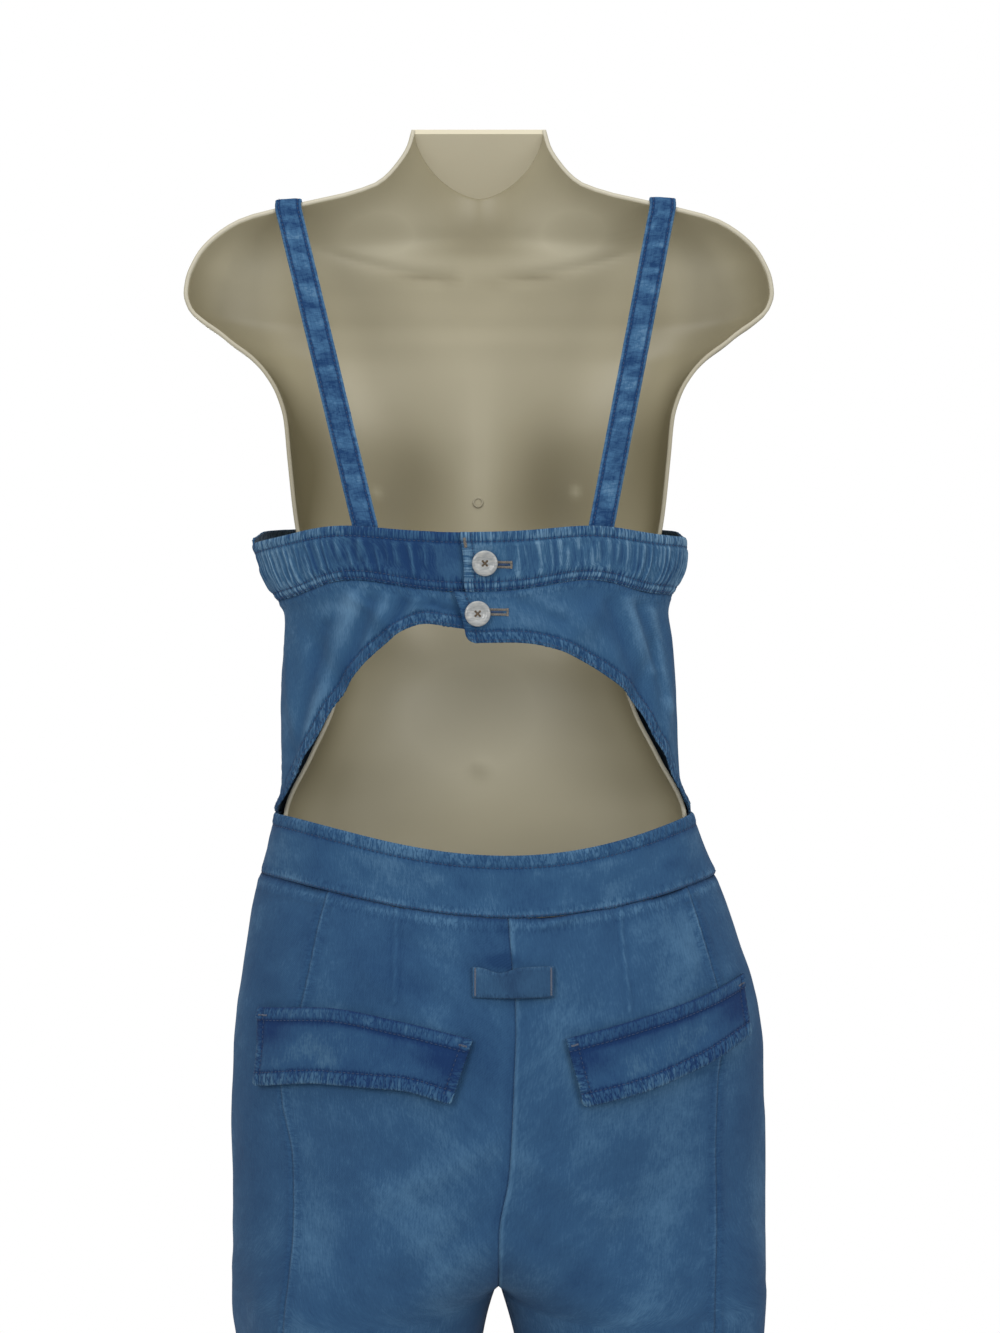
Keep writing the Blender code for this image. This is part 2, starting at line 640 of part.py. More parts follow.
def make_back_halves():
    """Each back half: a bodice panel with an arched lower edge, and an elastic casing on top."""
    hair = SEAM_GAP / 2 / 0.14
    halves = {
        "left": (1, math.pi / 2 - hair, math.radians(UNDER_LAP_DEG)),
        "right": (-1, math.radians(BAND_LAP_DEG), hair - math.pi / 2),
    }
    for hand, (side, first, last) in halves.items():

        def bodice(u, v, side=side, hand=hand, first=first, last=last):
            if side < 0:
                first = np.radians(TAB_FOOT_DEG + v * (TAB_TOP_DEG - TAB_FOOT_DEG))
            angle = first + u * (last - first)
            low = read(ARCH, hand, np.degrees(side * angle))
            height = low + v * (band_foot(angle) - SEAM_GAP / 2 - low)
            point = ring_point(angle, height, underlap(side, angle))
            inside = smoothstep(0.0, 0.25, u) * smoothstep(0.0, 0.25, 1 - u)
            rise = drag_rise(side, angle, height) * inside * smoothstep(0.0, 0.4, 1 - v)
            outwards = stacked(np.sin(angle), np.cos(angle), 0.0)
            return point + rise[..., None] * outwards

        def band(u, v, side=side, first=first, last=last):
            angle = first + u * (last - first)
            low = band_foot(angle) + SEAM_GAP / 2
            height = low + v * (band_top(angle) - low)
            return ring_point(angle, height, underlap(side, angle))

        def gathers(u, v, side=side, first=first, last=last):
            degrees = np.degrees(side * (first + u * (last - first)))
            number = np.round(u * GATHERS)
            uneven = 0.62 + 0.38 * np.sin(2.4 * number + side) ** 2
            wave = 0.5 + 0.5 * np.cos(2 * math.pi * GATHERS * u)
            sewn = smoothstep(0, 0.2, v) * smoothstep(0, 0.2, 1 - v)
            clear = smoothstep(10, 15, degrees) * smoothstep(0, 3, 90 - degrees)
            return GATHER_HEIGHT * uneven * wave * sewn * clear

        across = np.linspace(0, 1, 17)
        cloth(f"bodice_back_{hand}", bodice, across, np.linspace(0, 1, 6), DENIM)
        across = np.linspace(0, 1, GATHERS * COLUMNS_PER_GATHER + 1)
        rows = [0, 0.18, 0.82, 1]
        cloth(f"elastic_band_{hand}", band, across, rows, DOUBLE_DENIM, DARK_DENIM, gathers)


def make_front():
    """The front bodice, one piece shaped to the bust, from the waistband to the straight top."""
    hair = SEAM_GAP / 2 / 0.14

    def surface(u, v):
        angle = -math.pi / 2 - hair - u * (math.pi - 2 * hair)
        from_middle = np.abs(np.degrees(angle) + 180)
        high = read(FRONT_TOP, "height", from_middle)
        low = WAISTBAND_TOP + SEAM_GAP / 2
        return ring_point(angle, low + v * (high - low))

    cloth("bodice_front", surface, np.linspace(0, 1, 25), np.linspace(0, 1, 9), DENIM)


# Straps

def rim_height(x):
    """How high the torso's back rim is over the shoulder at this x."""
    heights = np.linspace(1.466, FORM_TOP, 200)
    widths = read(FORM_SECTIONS, "half_width", heights)
    return np.interp(np.abs(x), widths[::-1], heights[::-1])


def on_torso(x, height, off):
    """A point at this x and height on the front of the torso, moved out from it."""
    half_width = read(FORM_SECTIONS, "half_width", height)
    squareness = read(FORM_SECTIONS, "squareness", height)
    share = np.clip(np.abs(x) / half_width, 0, 0.9995) ** (squareness / 2)
    across = np.sign(x) * np.arcsin(share) * 2 / math.pi
    return torso_point(across, height) + torso_normal(across, height) * off


def strap_edge(strap, offset):
    """The outer face of a strap along one line, from inside the back band to behind the front."""
    points = []
    side = strap.side
    behind = strap.apart_back + offset
    for height in STRAP_IN_BAND:
        from_shift = side * behind - read(CLOTH_SECTIONS, "shift", height)
        angle = math.asin(from_shift / read(CLOTH_SECTIONS, "half_width", height))
        points.append(ring_point(angle, height, DOUBLE_DENIM + LYING_GAP))
    over = strap.apart_crest + offset
    top = rim_height(over)
    rim = read(FORM_SECTIONS, "rim", top)
    lift = STRAP_THICKNESS + STRAP_OVER_RIM
    crest = np.array([side * over, rim + lift, top - 0.004])
    for share in STRAP_BEHIND:
        points.append(points[len(STRAP_IN_BAND) - 1] * (1 - share) + crest * share)
    points.append(np.array([side * over, rim + 0.6 * lift, top + 0.7 * lift]))
    points.append(np.array([side * over, rim - 0.5 * lift, top + lift]))
    for drop in STRAP_DROPS:
        share = drop / STRAP_DROPS[-1]
        x = side * (over + share * (STRAP_APART_FRONT - strap.apart_crest))
        off = lift + (STRAP_OFF_TORSO - STRAP_OVER_RIM) * smoothstep(0, 0.05, drop)
        points.append(on_torso(x, rim_height(side * over) - drop, off))
    return np.array(points)


def along_path(points, share):
    """Points at shares of the way, by station, along a smooth curve through the given ones."""
    ends = np.vstack([2 * points[0] - points[1], points, 2 * points[-1] - points[-2]])
    at = np.clip(share, -0.02, 1.02) * (len(points) - 1)
    i = np.clip(np.floor(at).astype(int), 0, len(points) - 2)
    t = (at - i)[..., None]
    before, first, second, after = ends[i], ends[i + 1], ends[i + 2], ends[i + 3]
    return 0.5 * (
        2 * first
        + (second - before) * t
        + (2 * before - 5 * first + 4 * second - after) * t**2
        + (3 * first - before - 3 * second + after) * t**3
    )


def make_straps():
    """A narrow double strip over each shoulder, tucked in behind the band and the front."""
    for strap in STRAPS:
        edges = [
            strap_edge(strap, strap.side * share * STRAP_WIDTH) for share in (0.5, 0.0, -0.5)
        ]

        def surface(u, v, edges=edges):
            lines = [along_path(edge, v) for edge in edges]
            u = u[..., None]
            left, right = lines[0], lines[2]
            return (1 - u) * left + u * right + 4 * u * (1 - u) * (lines[1] - (left + right) / 2)

        stations = np.linspace(0, 1, len(edges[0]))
        cloth(strap.name, surface, [0, 0.5, 1], stations, STRAP_THICKNESS, DARK_DENIM)


# What lies on the seat

def leg_angle_at(side, x, height):
    """The angle round a leg of the back point at this x and height."""
    centre, radius = leg_centre(height)
    across = side * (x - read(CLOTH_SECTIONS, "shift", height))
    return np.arccos(np.clip((centre - across) / radius, -1, 1))


def seat_point(side, x, height, off):
    """A point at this x and height on the back of a leg, moved out from the cloth."""

    def surface(angle, level):
        return leg_point(side, angle, level)

    angle = leg_angle_at(side, x, height)
    outwards = -side * normals_of(surface, angle, height)
    return surface(angle, height) + outwards * off[..., None]


def make_flaps():
    """A doubled flap over each pocket mouth: its lower edge stands off the seat."""
    for name, (side, sections) in FLAPS.items():

        def surface(u, v, side=side, sections=sections):
            top_x, top_z = read(sections, "top_x", u), read(sections, "top_z", u)
            foot_x, foot_z = read(sections, "foot_x", u), read(sections, "foot_z", u)
            x, z = foot_x + v * (top_x - foot_x), foot_z + v * (top_z - foot_z)
            off = LYING_GAP + DOUBLE_DENIM + FLAP_STANDS_OFF * (1 - v) ** 2
            return seat_point(side, x, z, off)

        def welt(u, v):
            return FLAP_WELT_RISE * smoothstep(1 - FLAP_WELT * 1.6, 1 - FLAP_WELT, v)

        across, up = np.linspace(0, 1, 13), [0, 0.25, 0.5, 0.74, 0.84, 1]
        cloth(name, surface, across, up, DOUBLE_DENIM, DARK_DENIM, welt)


def make_loop():
    """A short strip of doubled cloth, sewn down at both ends across the seat seam."""

    def surface(u, v):
        x = LOOP_LEFT_X + u * (LOOP_RIGHT_X - LOOP_LEFT_X)
        height = LOOP_TOP - (1 - v) * LOOP_HEIGHT
        off = LYING_GAP + DENIM + 0.0004 + LOOP_BULGE * np.sin(math.pi * np.clip(u, 0, 1)) ** 2
        centre = read(CLOTH_SECTIONS, "shift", height)
        behind = read(CLOTH_SECTIONS, "back", height)
        across = (x - centre) / read(CLOTH_SECTIONS, "half_width", height)
        return stacked(x, behind * np.sqrt(1 - across**2) + off, height)

    cloth("hanging_loop", surface, np.linspace(0, 1, 11), [0, 0.5, 1], DENIM, DARK_DENIM)


# Buttons

def make_buttons():
    """A shell button: a turned disc with a raised rim and a shallow dish, and four thread holes."""
    profile = [
        (0.0, 0.0), (0.80, 0.0), (1.0, 0.35), (1.0, 0.72), (0.90, 1.0), (0.74, 0.92),
        (0.62, 0.66), (0.0, 0.62),
    ]
    for name, degrees, height in BUTTON_PLACES:
        bm = bmesh.new()
        edge = [bm.verts.new((r * BUTTON_RADIUS, 0, z * BUTTON_THICKNESS)) for r, z in profile]
        wire = [bm.edges.new(pair) for pair in zip(edge, edge[1:])]
        bmesh.ops.spin(
            bm, geom=edge + wire, axis=(0, 0, 1), cent=(0, 0, 0), steps=BUTTON_SEGMENTS,
            angle=2 * math.pi, use_merge=True,
        )
        bmesh.ops.remove_doubles(bm, verts=bm.verts, dist=1e-6)
        button = finished(name, bm, PEARL_BUTTON)
        for k, turn in enumerate(np.radians([45, 135, 225, 315])):
            cutter = bmesh.new()
            bmesh.ops.create_cone(
                cutter, cap_ends=True, segments=8, radius1=THREAD_HOLE_RADIUS,
                radius2=THREAD_HOLE_RADIUS, depth=4 * BUTTON_THICKNESS,
            )
            place = Vector((math.cos(turn), math.sin(turn), 0)) * THREAD_HOLE_APART
            bmesh.ops.translate(cutter, verts=cutter.verts, vec=place)
            hole = finished(f"{name}_hole_{k}", cutter, PEARL_BUTTON, smooth=False)
            hole.hide_render = True
            hole.display_type = "WIRE"
            hole.parent = button
            cut = button.modifiers.new(f"hole_{k}", "BOOLEAN")
            cut.operation = "DIFFERENCE"
            cut.object = hole
        angle = math.radians(degrees)
        seat = Vector(ring_point(angle, height))
        flare = (ring_point(angle, height + 0.01) - ring_point(angle, height - 0.01))[1] / 0.02
        axis = Vector((math.sin(angle) * 0.5, math.cos(angle), -flare)).normalized()
        button.rotation_mode = "QUATERNION"
        button.rotation_quaternion = axis.to_track_quat("Z", "Y")
        button.location = seat + axis * LYING_GAP


# Stand

def make_stand():
    """A round steel foot, and a pole with a flange at each end, up inside the left leg."""
    bm = bmesh.new()
    bmesh.ops.create_cone(
        bm, cap_ends=True, segments=72, radius1=FOOT_RADIUS, radius2=FOOT_RADIUS,
        depth=FOOT_THICKNESS,
    )
    bmesh.ops.translate(bm, verts=bm.verts, vec=(0, 0, FOOT_THICKNESS / 2))
    top = [e for e in bm.edges if all(v.co.z > FOOT_THICKNESS * 0.9 for v in e.verts)]
    bmesh.ops.bevel(
        bm, geom=top, offset=FOOT_BEVEL, segments=1, profile=0.5, affect="EDGES", material=-1
    )
    finished("stand_foot", bm, STAND_STEEL)

    low, high = FOOT_THICKNESS + REST_GAP, FORM_FOOT - REST_GAP
    flange = POLE_FLANGE_THICKNESS
    profile = [
        (0.0, low), (POLE_FLANGE_RADIUS, low), (POLE_FLANGE_RADIUS, low + flange),
        (POLE_RADIUS, low + flange), (POLE_RADIUS, high - flange),
        (POLE_FLANGE_RADIUS, high - flange), (POLE_FLANGE_RADIUS, high), (0.0, high),
    ]
    bm = bmesh.new()
    edge = [bm.verts.new((r, 0, z)) for r, z in profile]
    wire = [bm.edges.new(pair) for pair in zip(edge, edge[1:])]
    bmesh.ops.spin(
        bm, geom=edge + wire, axis=(0, 0, 1), cent=(0, 0, 0), steps=24,
        angle=2 * math.pi, use_merge=True,
    )
    bmesh.ops.remove_doubles(bm, verts=bm.verts, dist=1e-6)
    pole = finished("stand_pole", bm, STAND_STEEL)
    pole.location = (POLE_X, POLE_Y, 0)


make_torso()
make_legs()
make_waistband()
make_back_halves()
make_front()
make_straps()
make_flaps()
make_loop()
make_buttons()
make_stand()
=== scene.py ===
"""The looks of a washed denim jumpsuit with an open back, on a hollow display torso.

Metres, +Z up. The wearer's left is +X, the back of the garment faces +Y and the camera.
"""

import math
from collections import namedtuple

import bmesh
import bpy
import numpy as np
from mathutils import Matrix, Vector


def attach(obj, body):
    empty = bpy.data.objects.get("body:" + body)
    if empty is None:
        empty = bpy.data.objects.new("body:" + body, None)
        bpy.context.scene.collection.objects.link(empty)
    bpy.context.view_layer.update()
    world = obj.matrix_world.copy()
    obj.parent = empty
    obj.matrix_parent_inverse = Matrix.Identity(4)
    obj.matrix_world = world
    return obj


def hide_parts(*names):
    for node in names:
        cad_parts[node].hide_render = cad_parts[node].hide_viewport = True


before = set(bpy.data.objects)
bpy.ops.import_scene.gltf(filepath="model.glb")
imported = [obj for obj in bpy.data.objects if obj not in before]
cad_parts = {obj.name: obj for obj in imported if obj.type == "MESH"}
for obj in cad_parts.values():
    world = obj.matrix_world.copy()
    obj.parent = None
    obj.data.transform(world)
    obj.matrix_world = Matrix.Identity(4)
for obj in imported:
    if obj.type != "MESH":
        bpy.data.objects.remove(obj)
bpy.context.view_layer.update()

# The stand: a disc cut from 6 mm steel plate, and a steel tube with a flange welded on each end.
# Both are brushed and lacquered, so they shine softly in fine streaks. The CAD shapes are right
# and stay.


def linear(hexed):
    """An sRGB hex colour as linear red, green, blue and alpha."""
    parts = [int(hexed[i : i + 2], 16) / 255 for i in (1, 3, 5)]
    return (*[c / 12.92 if c <= 0.04045 else ((c + 0.055) / 1.055) ** 2.4 for c in parts], 1.0)


def add(tree, kind, inputs=None, stops=None, **settings):
    """Adds a shader node. inputs are values or other nodes' outputs; stops fill a colour ramp."""
    made = tree.nodes.new("ShaderNode" + kind)
    for name, value in settings.items():
        setattr(made, name, value)
    for name, value in (inputs or {}).items():
        if isinstance(value, bpy.types.NodeSocket):
            tree.links.new(value, made.inputs[name])
        else:
            made.inputs[name].default_value = value
    if stops:
        ramp = made.color_ramp.elements
        while len(ramp) < len(stops):
            ramp.new(0.5)
        for element, (place, colour) in zip(ramp, stops):
            element.position = place
            element.color = colour
    return made


def scaled(tree, value, by, plus=0.0, **settings):
    """value * by + plus, as a node's output."""
    inputs = {0: value, 1: by, 2: plus}
    return add(tree, "Math", inputs, operation="MULTIPLY_ADD", **settings).outputs[0]


def noise(tree, place, scale, detail):
    inputs = {"Vector": place, "Scale": scale, "Detail": detail}
    return add(tree, "TexNoise", inputs).outputs[0]


def new_finish(name):
    """A material and its node tree."""
    made = bpy.data.materials.new(name)
    made.use_nodes = True
    return made, made.node_tree


def object_place(tree, stretch=(1.0, 1.0, 1.0)):
    """The place on the object in metres, times a stretch."""
    place = add(tree, "TexCoord").outputs["Object"]
    return add(tree, "Mapping", {"Vector": place, "Scale": stretch}).outputs[0]


def dressed(made, tone, stops, dents, inputs):
    """The material, coloured by a ramp over tone, dented by height, strength and distance."""
    tree = made.node_tree
    shader = tree.nodes["Principled BSDF"]
    stops = [(place, linear(hexed)) for place, hexed in stops]
    colour = add(tree, "ValToRGB", {"Fac": tone}, stops)
    tree.links.new(colour.outputs[0], shader.inputs["Base Color"])
    if dents:
        bump = add(tree, "Bump", dict(zip(("Height", "Strength", "Distance"), dents)))
        tree.links.new(bump.outputs[0], shader.inputs["Normal"])
    for name, value in inputs.items():
        shader.inputs[name].default_value = value
    return made


def brushed_steel():
    """Mild steel, brushed: the strokes are 0.3 mm apart and drawn 2 mm wide, so that they show."""
    made, tree = new_finish("brushed_steel")
    strokes = noise(tree, object_place(tree, (500.0, 25.0, 25.0)), 1.0, 3.0)
    tones = [(0.3, "#A9ABAE"), (0.7, "#C4C6C8")]
    looks = {"Metallic": 1.0, "Roughness": 0.34}
    return dressed(made, strokes, tones, (strokes, 0.12, 0.0004), looks)


STEEL = brushed_steel()
for node in ("stand_foot", "stand_pole"):
    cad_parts[node].data.materials.clear()
    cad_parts[node].data.materials.append(STEEL)

# The display torso: a shell of translucent beige plastic, vacuum formed over a mould, trimmed
# along a flat rim and open at its back. Its inside shows the bust, collar bones and navel.

FORM_FOOT = 0.875
FORM_TOP = 1.575
NECK_CAP_TILT = 0.58
NECK_TILT_STARTS = 1.490
BUST_HEIGHT = 1.285
BUST_APART = 0.074
BUST_FORWARD = 0.034
BUST_WIDTH = 0.043
BUST_TALL = 0.052
BONE_HEIGHT = 1.4860
BONE_RISE = 0.0024
BONE_TALL = 0.0050
THROAT_DEEP = 0.0016
NAVEL_DEEP = 0.0012
TORSO_COLUMNS = 120
TORSO_ROWS = 195
SHEET_WALL = 0.0028
FORM_EASE = (-0.012, -0.006, 0.0, 0.006, 0.012)


def rows_of(kind, *rows):
    return [kind(*row) for row in rows]


FormSection = namedtuple("FormSection", "height half_width shift front rim squareness")
FORM_SECTIONS = rows_of(
    FormSection,
    (0.875, 0.148, -0.004, 0.097, 0, 2.1), (0.95, 0.153, -0.004, 0.1, 0, 2.1),
    (1, 0.15, -0.004, 0.098, 0, 2.1), (1.06, 0.143, -0.004, 0.09, 0, 2.15),
    (1.1076, 0.1388, -0.0042, 0.083, 0, 2.2), (1.147, 0.1206, -0.0036, 0.08, 0, 2.2),
    (1.18, 0.105, -0.0028, 0.079, 0, 2.25), (1.2, 0.1, -0.0024, 0.08, 0, 2.25),
    (1.225, 0.1015, -0.0018, 0.083, 0, 2.3), (1.2625, 0.113, -0.0008, 0.089, 0, 2.3),
    (1.302, 0.1265, 0, 0.091, 0, 2.3), (1.3505, 0.132, 0, 0.089, 0.002, 2.35),
    (1.378, 0.1345, 0, 0.086, 0.004, 2.4), (1.395, 0.1395, 0, 0.084, 0.005, 2.5),
    (1.409, 0.1477, 0, 0.082, 0.006, 2.6), (1.4195, 0.1575, 0, 0.081, 0.007, 2.7),
    (1.429, 0.1705, 0, 0.08, 0.008, 2.8), (1.436, 0.179, 0, 0.079, 0.009, 2.9),
    (1.4435, 0.19, 0, 0.078, 0.01, 3), (1.452, 0.1987, 0, 0.077, 0.01, 3),
    (1.463, 0.202, 0, 0.075, 0.011, 3), (1.473, 0.2008, 0, 0.073, 0.011, 2.9),
    (1.4885, 0.194, 0, 0.069, 0.012, 2.8), (1.4955, 0.189, 0, 0.067, 0.012, 2.7),
    (1.5055, 0.178, 0, 0.063, 0.012, 2.6), (1.515, 0.1615, 0, 0.061, 0.012, 2.5),
    (1.5215, 0.138, 0, 0.06, 0.012, 2.4), (1.526, 0.1187, 0, 0.059, 0.012, 2.3),
    (1.533, 0.0876, 0, 0.059, 0.012, 2.1), (1.54, 0.069, 0, 0.059, 0.012, 1.9),
    (1.5525, 0.0564, 0, 0.058, 0.012, 1.75), (1.564, 0.0492, 0, 0.057, 0.012, 1.7),
    (1.575, 0.046, 0, 0.056, 0.012, 1.7),
)


def smoothstep(low, high, value):
    t = np.clip((value - low) / (high - low), 0.0, 1.0)
    return t * t * (3.0 - 2.0 * t)


def read(table, column, at):
    """One column of a table at any value of its first column, smooth and never overshooting."""
    x = np.array([row[0] for row in table])
    y = np.array([getattr(row, column) for row in table])
    step = np.diff(x)
    slope = np.diff(y) / step
    tangent = np.zeros_like(y)
    same_way = slope[:-1] * slope[1:] > 0
    product = 2.0 * slope[:-1] * slope[1:]
    total = np.where(same_way, slope[:-1] + slope[1:], 1.0)
    tangent[1:-1] = np.where(same_way, product / total, 0.0)
    tangent[0], tangent[-1] = slope[0], slope[-1]
    at = np.clip(at, x[0], x[-1])
    i = np.clip(np.searchsorted(x, at) - 1, 0, len(step) - 1)
    t = (at - x[i]) / step[i]
    return (
        (2 * t**3 - 3 * t**2 + 1) * y[i]
        + (t**3 - 2 * t**2 + t) * step[i] * tangent[i]
        + (3 * t**2 - 2 * t**3) * y[i + 1]
        + (t**3 - t**2) * step[i] * tangent[i + 1]
    )


def form(column, height):
    return read(FORM_SECTIONS, column, height)


def stacked(x, y, z):
    return np.stack(np.broadcast_arrays(x, y, z), axis=-1)


def unit(ways):
    return ways / np.maximum(np.linalg.norm(ways, axis=-1, keepdims=True), 1e-12)


def normals_of(surface, u, v, step=1e-3):
    """The outward unit normals of a surface given as a function of u and v."""
    along = surface(u + step, v) - surface(u - step, v)
    up = surface(u, v + step) - surface(u, v - step)
    return unit(np.cross(along, up))


def bump_at(x, z, middle_x, middle_z, wide, tall):
    """A soft round swelling, 1 at its middle."""
    return np.exp(-(((x - middle_x) / wide) ** 2) - ((z - middle_z) / tall) ** 2)


def bust(x, height, half_width):
    """How far the torso swells forward at its bust."""
    swell = bump_at(np.abs(x), height, BUST_APART, BUST_HEIGHT, BUST_WIDTH, BUST_TALL)
    return BUST_FORWARD * swell * (1.0 - np.clip(np.abs(x) / half_width, 0, 1) ** 4)


def bones(x, height):
    """How far the collar bones stand forward, and the throat and navel lie back."""
    side = np.abs(x)
    line = BONE_HEIGHT + 0.02 * side + 1.7 * side**2
    bone = BONE_RISE * np.exp(-(((height - line) / BONE_TALL) ** 2))
    bone = bone * smoothstep(0.014, 0.030, side) * (1 - smoothstep(0.095, 0.125, side))
    throat = THROAT_DEEP * bump_at(x, height, 0.0, 1.482, 0.007, 0.010)
    navel = NAVEL_DEEP * bump_at(x, height, 0.001, 1.133, 0.0045, 0.0075)
    return bone - throat - navel


def eased(column, height):
    """A column of the torso's sections, smoothed over 24 mm of height, as the mould was."""
    return sum(form(column, height + step) for step in FORM_EASE) / len(FORM_EASE)


def torso_point(across, height):
    """A point on the torso: across runs from -1 at the wearer's right rim to 1 at the left."""
    half_width = form("half_width", height)
    front = eased("front", height)
    rim = form("rim", height)
    power = 2.0 / eased("squareness", height)
    angle = np.clip(across, -1, 1) * math.pi / 2
    x = half_width * np.sign(angle) * np.abs(np.sin(angle)) ** power
    y = rim - front * np.abs(np.cos(angle)) ** power - bust(x, height, half_width)
    y = y - bones(x, height) * np.clip(np.cos(angle), 0, 1)
    x = x + form("shift", height)
    tilt = NECK_CAP_TILT * (y - rim) * smoothstep(NECK_TILT_STARTS, FORM_TOP, height)
    return stacked(x, y, height + tilt)


def torso_front(x, height, room):
    """How far before the plane y = 0 the torso and some room round it reach."""
    half_width = form("half_width", height) + room
    front = form("front", height) + room
    squareness = form("squareness", height)
    x = x - form("shift", height)
    share = np.abs(x) / half_width
    inside = np.clip(1.0 - np.clip(share, 0, 1) ** squareness, 0, 1) ** (1.0 / squareness)
    reach = front * inside + bust(x, height, half_width)
    below = height < FORM_FOOT - 0.01
    return np.where(below | (share > 1.0), -0.05, reach - form("rim", height))


def torso_normal(across, height):
    inside = np.clip(across, -0.985, 0.985)
    low = np.clip(height, FORM_FOOT + 1e-3, FORM_TOP - 1e-3)
    return normals_of(torso_point, inside, low)


def mesh_of(name, bm):
    """A mesh from a bmesh, which is freed."""
    mesh = bpy.data.meshes.new(name)
    bm.to_mesh(mesh)
    bm.free()
    return mesh


def new_object(name, mesh, *finishes):
    for finish in finishes:
        mesh.materials.append(finish)
    made = bpy.data.objects.new(name, mesh)
    bpy.context.scene.collection.objects.link(made)
    return made


def turned(name, profile, steps, place):
    """A mesh turned as on a lathe: radii and heights, spun round the Z axis and put in place."""
    bm = bmesh.new()
    edge = [bm.verts.new((radius, 0, height)) for radius, height in profile]
    wire = [bm.edges.new(pair) for pair in zip(edge, edge[1:])]
    bmesh.ops.spin(
        bm, geom=edge + wire, axis=(0, 0, 1), cent=(0, 0, 0), steps=steps, angle=2 * math.pi,
        use_merge=True,
    )
    bmesh.ops.remove_doubles(bm, verts=bm.verts, dist=1e-6)
    bmesh.ops.recalc_face_normals(bm, faces=bm.faces)
    bmesh.ops.transform(bm, matrix=place, verts=bm.verts)
    mesh = mesh_of(name, bm)
    mesh.shade_smooth()
    return mesh


def fit(made, node=None):
    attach(made, "root")
    if node:
        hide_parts(node)


def shell(name, points, wall, finishes, paint=None, weave=None):
    """A wall from a grid of outer points: create_grid, each point put in place, then Solidify.

    finishes are the outer, inner and rim materials. paint holds an attribute's values by its
    name, and weave a flat place in metres for each point, which becomes the UV map.
    """
    rows, columns = points.shape[:2]
    bm = bmesh.new()
    bmesh.ops.create_grid(bm, x_segments=columns - 1, y_segments=rows - 1, size=0.5)
    for vert, place in zip(bm.verts, points.reshape(-1, 3).tolist()):
        vert.co = place
    mesh = mesh_of(name, bm)
    for key, values in (paint or {}).items():
        layer = mesh.attributes.new(key, "FLOAT", "POINT")
        layer.data.foreach_set("value", np.ascontiguousarray(values, np.float32).ravel())
    if weave is not None:
        corner = np.empty(len(mesh.loops), np.int32)
        mesh.loops.foreach_get("vertex_index", corner)
        flat = weave.reshape(-1, 2)[corner].astype(np.float32)
        mesh.uv_layers.new(name="cloth").data.foreach_set("uv", flat.ravel())
    mesh.shade_smooth()
    made = new_object(name, mesh, *finishes)
    thick = made.modifiers.new("wall", "SOLIDIFY")
    thick.thickness = wall
    thick.offset = -1.0
    thick.use_even_offset = False
    thick.material_offset = min(1, len(finishes) - 1)
    thick.material_offset_rim = min(2, len(finishes) - 1)
    return made


def torso_plastic(name, dark, middle, light):
    """Vacuum-formed PETG, tinted beige, smooth and half matt.

    Where the sheet stretched it has clouds some 11 cm wide, and its face ripples every 17 mm.
    """
    made, tree = new_finish(name)
    place = object_place(tree)
    # The tone attribute on the torso is painted light and shade, laid over it by place.
    tone = add(tree, "Attribute", attribute_name="tone").outputs["Fac"]
    cloudy = scaled(tree, noise(tree, place, 9.0, 2.0), 0.35, -0.175)
    tones = [(0.0, dark), (0.5, middle), (1.0, light)]
    orange_peel = noise(tree, place, 60.0, 1.0)
    looks = {"Roughness": 0.46, "IOR": 1.57}
    return dressed(made, scaled(tree, tone, 1.0, cloudy), tones, (orange_peel, 0.08, 0.002), looks)


PLASTIC = torso_plastic("torso_plastic", "#756D52", "#A39B81", "#C4BDA4")
# The cut rim and the hole's rolled rim get a lighter copy of the plastic: a painted highlight where
# light shines through the edge of the sheet.
LIT_RIM_PLASTIC = torso_plastic("torso_rim_lit", "#A19A84", "#B0AA96", "#BDB7A4")


# Painted light and shade on the torso's inside, by x and height: painted shade of the bust, collar
# bones, neck and under the arms, painted light between them, and small painted highlights.
TorsoLightAndShade = namedtuple("TorsoLightAndShade", "x height wide tall rise")
TORSO_LIGHT_AND_SHADE = rows_of(
    TorsoLightAndShade,
    (0.001, 1.415, 0.08, 0.06, 0.2), (0.001, 1.345, 0.012, 0.06, 0.2),
    (0.052, 1.35, 0.03, 0.042, -0.33), (-0.05, 1.35, 0.03, 0.042, -0.37),
    (0.067, 1.516, 0.026, 0.014, 0.8), (-0.066, 1.516, 0.026, 0.014, 0.78),
    (0.001, 1.519, 0.032, 0.016, -0.44), (0.001, 1.547, 0.04, 0.014, -0.22),
    (0.17, 1.487, 0.028, 0.026, 0.46), (-0.16, 1.489, 0.028, 0.026, 0.3),
    (0.126, 1.452, 0.018, 0.03, -0.22), (-0.126, 1.452, 0.018, 0.03, -0.2),
    (0.122, 1.357, 0.016, 0.055, -0.42), (-0.118, 1.357, 0.016, 0.055, -0.3),
    (-0.071, 1.338, 0.004, 0.004, 0.45), (0.077, 1.337, 0.004, 0.004, 0.3),
    (0.008, 1.18, 0.066, 0.05, 0.62), (0.11, 1.13, 0.018, 0.04, -0.2),
    (-0.115, 1.13, 0.018, 0.04, -0.1), (0.001, 1.133, 0.008, 0.006, -0.26),
    (0.043, 1.488, 0.018, 0.003, -0.3), (-0.041, 1.488, 0.018, 0.003, -0.3),
    (0.017, 1.485, 0.005, 0.005, -0.26), (-0.015, 1.485, 0.005, 0.005, -0.26),
    (0.001, 1.485, 0.007, 0.011, 0.46), (0.045, 1.498, 0.036, 0.0055, 0.14),
    (-0.043, 1.498, 0.036, 0.0055, 0.14), (0.1, 1.51, 0.02, 0.012, 0.2),
)


